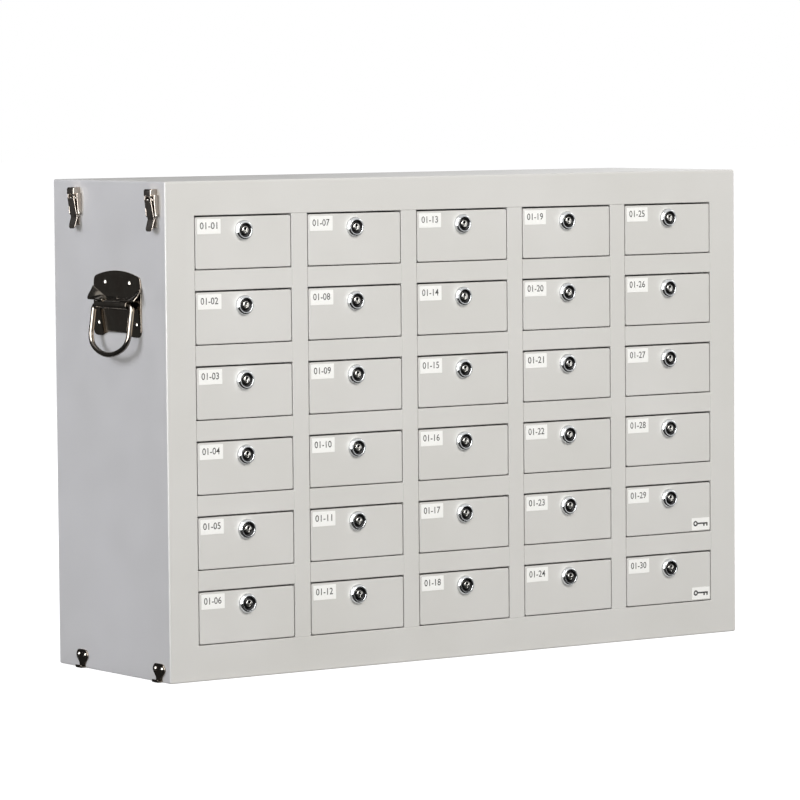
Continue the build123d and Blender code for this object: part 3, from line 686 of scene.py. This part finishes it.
plate = {
    "sheet": 1.3, "edge": 0.35, "half": 46.0, "shoulderHalf": 44.5, "crown": 34.3, "shoulder": 27.8,
    "waist": 17.0, "foot": 32.0, "arch": 26.0, "footWidth": 16.5, "crownSteps": 12, "backEdge": 0.1,
    "footCorner": 7.0, "shoulderCorner": 5.6, "archCorner": 4.0, "softCorner": 1.5,
    "place": (92.0, 124.6),                         # bar's axis behind the front and below the top
}
boss = {"topHalf": 27.5, "footHalf": 20.0, "head": 2.0, "foot": 28.2, "corner": 2.4, "height": 0.9,
        "sink": 0.2, "slope": 1.6, "slopeSteps": 6}
knuckle = {
    "half": 30.5, "standoff": 5.7, "bore": 3.2, "flare": 3.4, "edge": 0.3, "steps": 16, "overStart": 78.0,
    "lift": 0.02, "leave": (0.0, -4.2), "arrive": (4.0, 0.2), "bendSteps": 7, "back": 0.4, "tailRun": 0.6,
    "skirt": ((1.0, 0.0), (0.3, 0.35), (0.02, 1.2)),    # off the plate and below the loop round the bar
}
earShape = {
    "inner": 17.0, "outer": 47.0, "rootInner": 5.4, "rootOuter": 18.0, "lipRise": 4.3, "tipRise": 4.5,
    "rootReach": 0.7, "lipReach": 8.8, "tipReach": 9.4, "thickness": 1.2, "lobe": 0.86, "lobeEnd": 0.66,
    "swell": 1.15, "lipBulge": 0.36, "endScale": 0.9, "endStep": 0.25, "rows": 21, "columns": 13,
}
ring = {
    "half": 37.0, "shoulder": 38.5, "drop": 58.5, "topRadius": 6.0, "sideRadius": 18.0, "footRadius": 57.0,
    "bar": 2.7, "tilt": 8.0, "sides": 24, "arcSteps": 16,
}
rivetLook = {"tail": 2.5, "tailHeight": 1.2, "tailRun": 0.3, "tailEdge": 0.2, "shank": 1.6, "sheet": 1.0,
             "lift": 0.02, "pole": 0.015, "cap": 0.1, "domeSteps": 8, "steps": 32}
rivetSets = {
    "handleUpper": {"radius": 3.25, "height": 1.8, "grip": 1.3, "rise": 21.7, "spacing": 47.0},
    "handleLower": {"radius": 3.25, "height": 1.8, "grip": 1.3, "rise": -19.5, "spacing": 73.0},
}


def plateOutline():
    # a crown and an arch that are flat parabolas, straight sides and rounded shoulders and feet
    across = np.linspace(-1, 1, plate["crownSteps"] + 1)
    top = plate["shoulder"] + (plate["crown"] - plate["shoulder"]) * (1 - across ** 2)
    innerFoot = plate["half"] - plate["footWidth"]
    low = -plate["arch"] - (plate["foot"] - plate["arch"]) * across ** 2
    crown = np.column_stack([plate["shoulderHalf"] * across[::-1], top])
    arch = np.column_stack([innerFoot * across, low])
    left = [(-plate["half"], plate["waist"]), (-plate["half"], -plate["foot"])]
    right = [(plate["half"], -plate["foot"]), (plate["half"], plate["waist"])]
    corners = np.vstack([crown, left, arch, right])
    radii = np.full(len(corners), plate["softCorner"])
    count = len(crown)
    radii[[0, count - 1]] = plate["shoulderCorner"]
    radii[[count + 1, count + 2 + len(arch)]] = plate["footCorner"]
    radii[[count + 2, count + 1 + len(arch)]] = plate["archCorner"]
    return roundedCorners(corners, radii)


def plateBoss():
    # the pressed-out middle: a trapezium that rises along the slope 3 s^2 - 2 s^3
    top, foot, head, low = boss["topHalf"], boss["footHalf"], -boss["head"], -boss["foot"]
    outline = roundedCorners([(-top, head), (top, head), (foot, low), (-foot, low)], boss["corner"])
    share = np.linspace(0, 1, boss["slopeSteps"] + 1)
    soft = 3 * share ** 2 - 2 * share ** 3
    height = plate["sheet"] - boss["sink"] + (boss["height"] + boss["sink"]) * soft
    return drawnIn(outline, zip(boss["slope"] * share, height))


def knuckleShell():
    # a sheet in section: down the plate, out through a soft bend, over the bar and back, then its bore; the
    # bend is a cubic that leaves the plate and meets the loop along their own directions
    standoff, bore, sheet, back = knuckle["standoff"], knuckle["bore"], plate["sheet"], knuckle["back"]
    outer = bore + sheet
    over = arc((standoff, 0), outer, knuckle["overStart"], -90, knuckle["steps"])
    inside = arc((standoff, 0), bore, -90, 90, knuckle["steps"])
    bend = np.linspace(0, 1, knuckle["bendSteps"] + 1)[:, None]
    start, finish = np.array([sheet + knuckle["lift"], outer + knuckle["flare"]]), over[0]
    leave, arrive = np.array(knuckle["leave"]), np.array(knuckle["arrive"])
    smooth = ((2 * bend ** 3 - 3 * bend ** 2 + 1) * start + (bend ** 3 - 2 * bend ** 2 + bend) * leave
              + (3 * bend ** 2 - 2 * bend ** 3) * finish + (bend ** 3 - bend ** 2) * arrive)
    skirt = [(sheet + off, -outer - fall) for off, fall in knuckle["skirt"]]
    tail = [(standoff - knuckle["tailRun"], -outer), *skirt, (back, skirt[-1][1]), (back, -bore)]
    head = [(back, bore), (back, outer + knuckle["flare"])]
    outline = np.vstack([smooth[:-1], over, tail, inside, head])
    return sideOn(slab(outline, -knuckle["half"], knuckle["half"], knuckle["edge"]))


def earShell(way):
    # a curved sheet between a root line on the plate and a lip over the ring, with a rounded outer lobe:
    # its lower corner is cut back along a quarter ellipse, which stops just short of its end
    look = earShape
    along = np.linspace(0, 1, look["rows"])
    outer = np.clip((along - look["lobe"]) / (1 - look["lobe"]), 0, 1)
    cut = look["lobeEnd"] + (1 - look["lobeEnd"]) * np.sqrt(1 - 0.999 * outer ** 2)
    across = np.linspace(0, 1, look["columns"])[None, :] * cut[:, None]
    depth = look["inner"] + (look["outer"] - look["inner"]) * along
    rootRise = look["rootInner"] + (look["rootOuter"] - look["rootInner"]) * along
    lipRise = look["lipRise"] + (look["tipRise"] - look["lipRise"]) * along
    lipReach = look["lipReach"] + (look["tipReach"] - look["lipReach"]) * along
    reach = look["rootReach"] + (lipReach - look["rootReach"])[:, None] * across ** look["swell"]
    rise = rootRise[:, None] + (lipRise - rootRise)[:, None] * across
    surface = np.stack([reach, np.repeat(depth[:, None], look["columns"], axis=1), rise], axis=-1)
    byAcross, byAlong = np.gradient(surface, axis=1), np.gradient(surface, axis=0)
    normal = np.cross(byAcross, byAlong)
    normal /= np.linalg.norm(normal, axis=-1)[..., None]
    thick = look["thickness"] / 2
    outward = byAcross[:, -1] / np.linalg.norm(byAcross[:, -1], axis=-1)[:, None]
    lip = surface[:, -1] + look["lipBulge"] * outward
    upper, lower = surface + thick * normal, (surface - thick * normal)[:, ::-1]
    rings = np.concatenate([upper, lip[:, None], lower], axis=1)
    middle = rings[-1:].mean(axis=1, keepdims=True)
    close = middle + (rings[-1:] - middle) * look["endScale"] + np.array([0, look["endStep"], 0])
    rings = np.concatenate([rings, close], axis=0) * np.array([1, way, 1])
    return cappedTube(rings)


def ringShell():
    # a round bar carried along a rounded loop, hung from its upper side and tilted off the panel
    half, shoulder = ring["half"], ring["shoulder"]
    corners = [(half, 0), (half, -shoulder), (0, -ring["drop"]), (-half, -shoulder), (-half, 0)]
    radii = [ring["topRadius"], ring["sideRadius"], ring["footRadius"], ring["sideRadius"], ring["topRadius"]]
    loop = anticlockwise(roundedCorners(corners, radii, ring["arcSteps"]))
    inward = mitres(loop)
    angle = np.linspace(0, 2 * np.pi, ring["sides"], endpoint=False)
    off = ring["bar"] * np.cos(angle)
    flat = loop[:, None] + inward[:, None] * (ring["bar"] * np.sin(angle))[None, :, None]
    tilt = math.radians(ring["tilt"])
    reach = knuckle["standoff"] + off[None, :] * math.cos(tilt) - flat[..., 1] * math.sin(tilt)
    rise = off[None, :] * math.sin(tilt) + flat[..., 1] * math.cos(tilt)
    return closedTube(np.stack([reach, flat[..., 0], rise], axis=-1))


def rivetShell(radius, height, grip):
    # a dome whose section is an arc of a circle, a shank and the disc that it is closed with inside
    ball = (height ** 2 + radius ** 2) / (2 * height)
    turn = np.linspace(rivetLook["pole"], math.asin(radius / ball), rivetLook["domeSteps"] + 1)
    dome = np.column_stack([ball * np.sin(turn), grip + height - ball + ball * np.cos(turn)])
    inner, shank, tail = -rivetLook["sheet"], rivetLook["shank"], rivetLook["tail"]
    end = inner - rivetLook["tailHeight"]
    rest = [(radius, grip + rivetLook["lift"]), (shank, grip), (shank, inner), (tail, inner),
            (tail, end + rivetLook["tailEdge"]), (tail - rivetLook["tailRun"], end), (rivetLook["cap"], end)]
    return cappedTube(reachTurned(dome.tolist() + rest, rivetLook["steps"]))


latch = {
    "setbacks": {"front": 20.6, "rear": 170.2}, "sheet": 1.2, "leverSheet": 1.0, "baseWidth": 9.6,
    "pivot": (4.6, -18.5), "claw": (2.3, -34.0),    # reach and height of the two pins
    "width": 12.4, "edge": 0.28, "webCorner": 0.3, "bend": (4.0, -38.0), "bendDrop": 0.3,
    "finger": (7.3, -49.5), "fingerLap": 1.0, "fingerCorners": (0.5, 0.5, 4.0, 4.0),
    "crown": 3.2, "crownTurn": 215.0, "crownSteps": 14, "heel": 5.0, "low": 1.1, "wallFoot": 0.5,
    "wallTip": (-0.4, 0.2),                         # both are measured from the bend
    "wallPlay": 0.4, "wallEdge": 0.224, "wallSink": (0.08, 0.04),   # inside the web, in reach and depth
    "rivets": {"drops": (12.4, 42.5), "radius": 2.3, "height": 1.0, "grip": 0.8},
}
pin = {"radius": 1.0, "head": 1.6, "headHeight": 0.6, "play": 0.1, "tip": 0.03, "steps": 20,
       "dome": ((1.0, 0.3), (0.8, 0.75), (0.45, 0.96))}     # shares of the head's radius and height
claw = {
    "width": 18.8, "blockWidth": 13.0, "reach": 8.2, "top": -7.5, "foot": -14.6, "lip": 0.2, "edge": 0.45,
    "webReach": 5.6, "webEdge": 0.25, "armEnd": 1.9, "armLap": 1.0, "armEdge": 0.4, "lift": 0.4,
    "hoodCorners": (0.5, 2.6, 0.5, 0.5, 1.4, 0.5), "webCorners": (0.3, 1.0, 1.0, 0.3), "webSink": 0.05,
    "cheekCorners": (0.4, 2.5, 0.4, 0.4), "cheekEdge": 0.2,
    "cheekSink": (0.15, 0.06, 0.1),                 # inside the hood, in reach, depth and height
}
keeper = {
    "sheet": 1.3, "half": 12.65, "height": 19.2, "neckHalf": 5.3, "lift": 0.5, "edge": 0.5, "backEdge": 0.15,
    "waist": 5.0, "shoulder": 12.6, "crownHalf": 8.349, "crownDrop": 0.3,
    "pearCorners": (0.4, 5.0, 4.6, 5.0, 12.0, 5.0, 4.6, 5.0, 0.4),
    "lipRoot": 0.3, "lipReach": 6.2, "lipHeight": 3.0, "lipHalf": 5.27, "lipEdge": 0.35,
    "lipCorners": (0.2, 1.1, 0.4, 0.4, 0.4, 0.2),
    "rivets": {"rise": 13.6, "spacing": 12.2, "radius": 2.75, "height": 1.8},
}


def pinShell(reach, rise, innerWidth):
    # a round pin along the depth with a domed head at each end
    half, head, height = innerWidth / 2 + pin["play"], pin["head"], pin["headHeight"]
    dome = [(across * head, half + up * height) for across, up in pin["dome"]]
    end = [(pin["radius"], half), (head, half), *dome, (pin["tip"], half + height)]
    profile = [(radius, -depth) for radius, depth in end[::-1]] + end
    return cappedTube(turned(profile, pin["steps"]) + np.array([reach, 0, rise]))


def leverShells():
    # a web over two side walls, rounded over the pivot, and a flared finger with a rounded end
    pivot, bend, tip = (np.array(latch[key]) for key in ("pivot", "bend", "finger"))
    sheet, half, edge, low = latch["leverSheet"], latch["width"] / 2, latch["edge"], latch["low"]
    face = pivot + (latch["crown"], 0)
    section = [face, bend, bend - (sheet, latch["bendDrop"]), face - (sheet, 0)]
    web = roundedCorners(section, latch["webCorner"], 3)
    shells = [sideOn(slab(web, -half, half, edge))]
    crown = arc(pivot, latch["crown"], 0, latch["crownTurn"], latch["crownSteps"] + 1)
    ends = [(low, pivot[1] - latch["heel"]), (low, bend[1] + latch["wallFoot"]), bend + latch["wallTip"]]
    wall = np.vstack([crown, *ends]) - (latch["wallSink"][0], 0)
    inner, outer = latch["baseWidth"] / 2 + latch["wallPlay"], half - latch["wallSink"][1]
    shells += sideWalls(wall, inner, outer, latch["wallEdge"])
    length = np.linalg.norm(tip - bend)
    along = (tip - bend) / length
    out = np.array([-along[1], along[0]])
    flat = rectangle(-half, half, -latch["fingerLap"], length)
    points, faces = slab(roundedCorners(flat, latch["fingerCorners"], 7), -sheet, 0.0, edge)
    inPlane = bend + points[:, 1:2] * along + points[:, 2:3] * out
    shells.append((np.column_stack([inPlane[:, 0], points[:, 0], inPlane[:, 1]]), faces))
    return shells


def clawShells():
    # a hooked block of folded sheet, the web below it and two arms that narrow down to the claw's pin
    sheet, half, arm = latch["sheet"], claw["blockWidth"] / 2, claw["width"] / 2
    reach, top, foot, lift = (claw[key] for key in ("reach", "top", "foot", "lift"))
    inner, low = reach - sheet, foot + claw["lip"]
    hood = [(lift, top), (reach, top), (reach, low), (inner, low), (inner, top - sheet), (lift, top - sheet)]
    shells = [sideOn(slab(roundedCorners(hood, claw["hoodCorners"], 6), -half, half, claw["edge"]))]
    inReach, inDepth, inHeight = claw["cheekSink"]
    reach, top, low = reach - inReach, top - inHeight, foot + inHeight
    cheek = roundedCorners(rectangle(lift, reach, top, low), claw["cheekCorners"], 6)
    shells += sideWalls(cheek, half - sheet, half - inDepth, claw["cheekEdge"])
    # the web is drawn in reach and depth, so its thickness is its height as it stands
    reach, side = claw["webReach"], arm - claw["webSink"]
    web = roundedCorners(rectangle(lift, reach, -side, side), claw["webCorners"], 4)
    shells.append(slab(web, foot, foot + sheet, claw["webEdge"]))
    tip = arc(latch["claw"], claw["armEnd"], 0, -180, 12)
    high = foot + claw["armLap"]
    wall = np.vstack([(lift, high), (reach, high), (reach, latch["pivot"][1]), tip])
    return shells + sideWalls(wall, arm - sheet, arm, claw["armEdge"])


def keeperShells():
    # a pear-shaped plate with well rounded edges and a hooked lip below it
    half, neck, sheet, lift, height = (keeper[key] for key in ("half", "neckHalf", "sheet", "lift", "height"))
    pear = [(neck, lift), (neck, keeper["waist"]), (half, keeper["shoulder"]),
            (keeper["crownHalf"], height - keeper["crownDrop"]), (0, height)]
    pear += [(-y, z) for y, z in pear[3::-1]]
    pear = roundedCorners(pear, keeper["pearCorners"], 6)
    root, reach, side = keeper["lipRoot"], keeper["lipReach"], keeper["lipHalf"]
    inner, top, over = reach - sheet, lift + keeper["lipHeight"], lift + sheet
    lip = [(root, lift), (reach, lift), (reach, top), (inner, top), (inner, over), (root, over)]
    lip = roundedCorners(lip, keeper["lipCorners"], 4)
    return [faceOn(slab(pear, 0.0, sheet, keeper["edge"], keeper["backEdge"])),
            sideOn(slab(lip, -side, side, keeper["lipEdge"]))]


def rivetPair(look, grip):
    # two domed rivets side by side, at their rise above a middle
    dome = rivetShell(look["radius"], look["height"], grip)
    return [moved(dome, (0, way * look["spacing"] / 2, look["rise"])) for way in (-1, 1)]


def makeHardware():
    handlePlace = np.array([0, cabinetFront + plate["place"][0], cabinetTop - plate["place"][1]])
    stamping = slab(plateOutline(), 0.0, plate["sheet"], plate["edge"], plate["backEdge"])
    handle = [faceOn(stamping), faceOn(plateBoss()), knuckleShell(), earShell(1), earShell(-1)]
    handleRivets = [shell for look in rivetSets.values() for shell in rivetPair(look, look["grip"])]
    lever, hook, small = leverShells(), keeperShells(), latch["rivets"]
    basePin, clawPin = pinShell(*latch["pivot"], latch["width"]), pinShell(*latch["claw"], claw["width"])
    block, loop = clawShells(), ringShell()
    dome = rivetShell(small["radius"], small["height"], small["grip"])
    baseRivets = [moved(dome, (0, 0, -drop)) for drop in small["drops"]]
    hookRivets = rivetPair(keeper["rivets"], keeper["sheet"])
    plates, rivets, pins, keepers = [], [], [], []

    def put(shells, place):
        return [onEnd(shell, end, place) for shell in shells]

    def ride(piece, shells, metal, node):
        makePiece(piece, shells, metals[metal], node, [node])

    for name, end in ends.items():
        ride(f"ring_{name}", put([loop], handlePlace), "barNickel", f"handle_ring_{name}")
        plates += put(handle, handlePlace)
        rivets += put(handleRivets, handlePlace)
        for spot, setback in latch["setbacks"].items():
            place, foot = (np.array([0, cabinetFront + setback, z]) for z in (cabinetTop, 0))
            tag = f"{name}_{spot}"
            ride(f"lever_{tag}", put(lever, place), "latchNickel", f"latch_lever_{tag}")
            ride(f"claw_{tag}", put(block, place), "latchNickel", f"latch_claw_{tag}")
            ride(f"clawPin_{tag}", put([clawPin], place), "rivetNickel", f"latch_claw_{tag}")
            pins += put([basePin], place)
            rivets += put(baseRivets, place) + put(hookRivets, foot)
            keepers += put(hook, foot)
    dark, light = metals["smokedNickel"], metals["rivetNickel"]
    makePiece("handlePlates", plates, dark, "cabinet", ["handle_plates"])
    makePiece("keeperPlates", keepers, dark, "cabinet", ["keepers"])
    makePiece("leverPins", pins, light, "cabinet", ["latch_pins"])
    makePiece("domedRivets", rivets, light, "cabinet", ["rivets"])


makeHardware()
print("handles, latches, keepers and rivets made")


finishes = {
    cabinetPaint: ("left_side_panel", "right_side_panel", "top_panel", "base_panel", "back_panel",
                   "side_liners", "dividers", "cross_rails", "shelves"),
    metals["pinSteel"]: ("hinge_pins",),
    metals["latchNickel"]: ("latch_bases",),
}


def finishCadNodes():
    for material, names in finishes.items():
        for name in names:
            nodes[name].data.materials.clear()
            nodes[name].data.materials.append(material)


finishCadNodes()
print("construction pieces finished")


# Soft studio light: broad boxes light the paint evenly from the front and, cooler, from behind the left end.
ambient = 0.44
lamps = {
    "frontBox": {"aim": (-0.05, -0.90, 0.42), "away": 3.2, "size": 1.5, "radiance": 8.9, "tint": "#FFFDF8"},
    "leftBox": {"aim": (-0.84, 0.40, 0.37), "away": 2.4, "size": 0.9, "radiance": 8.4, "tint": "#F0F2FF"},
    "rightFill": {"aim": (0.90, 0.10, 0.42), "away": 3.5, "size": 1.8, "radiance": 2.2, "tint": "#FFFFFF"},
    "backFill": {"aim": (0.10, 0.95, 0.30), "away": 3.5, "size": 1.8, "radiance": 1.6, "tint": "#FFFFFF"},
}


def makeLamps():
    middle = (cadLow + cadHigh) / 2
    for name, lamp in lamps.items():
        data = bpy.data.lights.new(name, "AREA")
        data.shape, data.size = "SQUARE", lamp["size"]
        data.color = linearColour(lamp["tint"])[:3]
        data.energy = lamp["radiance"] * math.pi * lamp["size"] ** 2
        box = addObject(name, data)
        aim = Vector(lamp["aim"]).normalized()
        box.location = middle + aim * lamp["away"]
        box.rotation_euler = aim.to_track_quat("Z", "Y").to_euler()


# Studio cards that only polished surfaces pick up: bright ones draw the white streaks, dark ones the flats.
# Each stands on the floor at an azimuth from the front, counted to the left, and faces the object.
cards = {
    "whiteLeft": {"azimuth": 74.0, "distance": 1.5, "width": 1.05, "low": 0.0, "high": 2.6, "glow": 14.0},
    "dimBackLeft": {"azimuth": 143.0, "distance": 1.8, "width": 2.4, "low": 0.0, "high": 1.9, "glow": 0.09},
    "greyRight": {"azimuth": -38.0, "distance": 1.9, "width": 1.3, "low": 0.0, "high": 0.8, "glow": 0.75},
}
floorCards = {
    "floorFront": {"x": (-1.2, 0.9), "y": (-3.0, -0.125), "height": 0.0004, "glow": 0.05},
    "floorLeft": {"x": (-1.9, -0.3605), "y": (-0.12, 2.2), "height": 0.0004, "glow": 0.05},
}
topCard = {"x": (-0.6, 2.4), "z": (0.02, 2.4), "back": 1.2, "glow": (0.02, 1.3), "fade": (0.55, 1.35)}


def makeCard(name, corners, glow, gradient=None):
    material = newMaterial(name)
    inputs = {"Color": linearColour("#FFFFFF"), "Strength": glow}
    if gradient:
        place = addNode(material, "TexCoord").outputs["Object"]
        across = addNode(material, "SeparateXYZ", {"Vector": place}).outputs["X"]
        inputs["Strength"] = addRange(material, across, *gradient["glow"], *gradient["fade"])
    finishMaterial(material, addNode(material, "Emission", inputs))
    mesh = bpy.data.meshes.new(name)
    mesh.from_pydata(corners, [], [(0, 1, 2, 3)])
    mesh.materials.append(material)
    board = addObject(name, mesh)
    board.visible_camera = board.visible_diffuse = board.visible_shadow = False
    board.visible_transmission = board.visible_volume_scatter = False


def makeCards():
    for name, look in cards.items():
        turn = math.radians(look["azimuth"])
        away = np.array([-math.sin(turn), -math.cos(turn)])
        along = np.array([math.cos(turn), -math.sin(turn)]) * look["width"] / 2
        left, right = away * look["distance"] - along, away * look["distance"] + along
        upper = rectangle(left, right, look["low"], look["high"])
        makeCard(name, [(*foot, z) for foot, z in upper], look["glow"])
    for name, look in floorCards.items():
        flat = rectangle(*look["x"], *look["y"])
        makeCard(name, [(x, y, look["height"]) for x, y in flat], look["glow"])
    upper = rectangle(*topCard["x"], *topCard["z"])
    makeCard("gradedBack", [(x, topCard["back"], z) for x, z in upper], 1.0, topCard)


def seenDirectly(material):
    # 1 for rays from the lens, from gloss and through glass, and 0 for the light that falls on things
    path = addNode(material, "LightPath").outputs
    inputs = {0: path["Is Camera Ray"], 1: path["Is Glossy Ray"]}
    either = addNode(material, "Math", inputs, operation="MAXIMUM")
    inputs = {0: either.outputs[0], 1: path["Is Transmission Ray"]}
    return addNode(material, "Math", inputs, operation="MAXIMUM").outputs[0]


def makeWorld():
    world = bpy.data.worlds.new("studio")
    world.use_nodes = True
    world.node_tree.nodes.clear()
    strength = addRange(world, seenDirectly(world), ambient, 1.0, 0.0, 1.0)
    shader = addNode(world, "Background", {"Color": linearColour("#FFFFFF"), "Strength": strength})
    addNode(world, "OutputWorld", {"Surface": shader.outputs[0]})
    bpy.context.scene.world = world


floorLook = {"half": 30.0, "below": 0.05, "glow": 0.80, "shadowed": 0.55, "bounce": 0.40}


def makeFloor():
    # white card that keeps a soft shadow: part of what is seen is its own white, part is the light on it
    material = newMaterial("floorCard")
    glow = addNode(material, "Emission", {"Color": linearColour("#FFFFFF"), "Strength": floorLook["glow"]})
    lit = addNode(material, "BsdfDiffuse", {"Color": (*[floorLook["shadowed"]] * 3, 1)})
    seen = addNode(material, "AddShader", {0: glow.outputs[0], 1: lit.outputs[0]})
    bounced = addNode(material, "BsdfDiffuse", {"Color": (*[floorLook["bounce"]] * 3, 1)})
    inputs = {0: seenDirectly(material), 1: bounced.outputs[0], 2: seen.outputs[0]}
    finishMaterial(material, addNode(material, "MixShader", inputs))
    half = floorLook["half"]
    mesh = bpy.data.meshes.new("floor")
    mesh.from_pydata([(x, y, 0) for x, y in rectangle(-half, half, -half, half)], [], [(0, 1, 2, 3)])
    mesh.materials.append(material)
    floor = addObject("floor", mesh)
    floor.location = (0, 0, cadLow.z - floorLook["below"] * mm)


makeLamps()
makeCards()
makeWorld()
makeFloor()
bpy.context.scene.view_settings.view_transform = "Standard"
print("studio set")
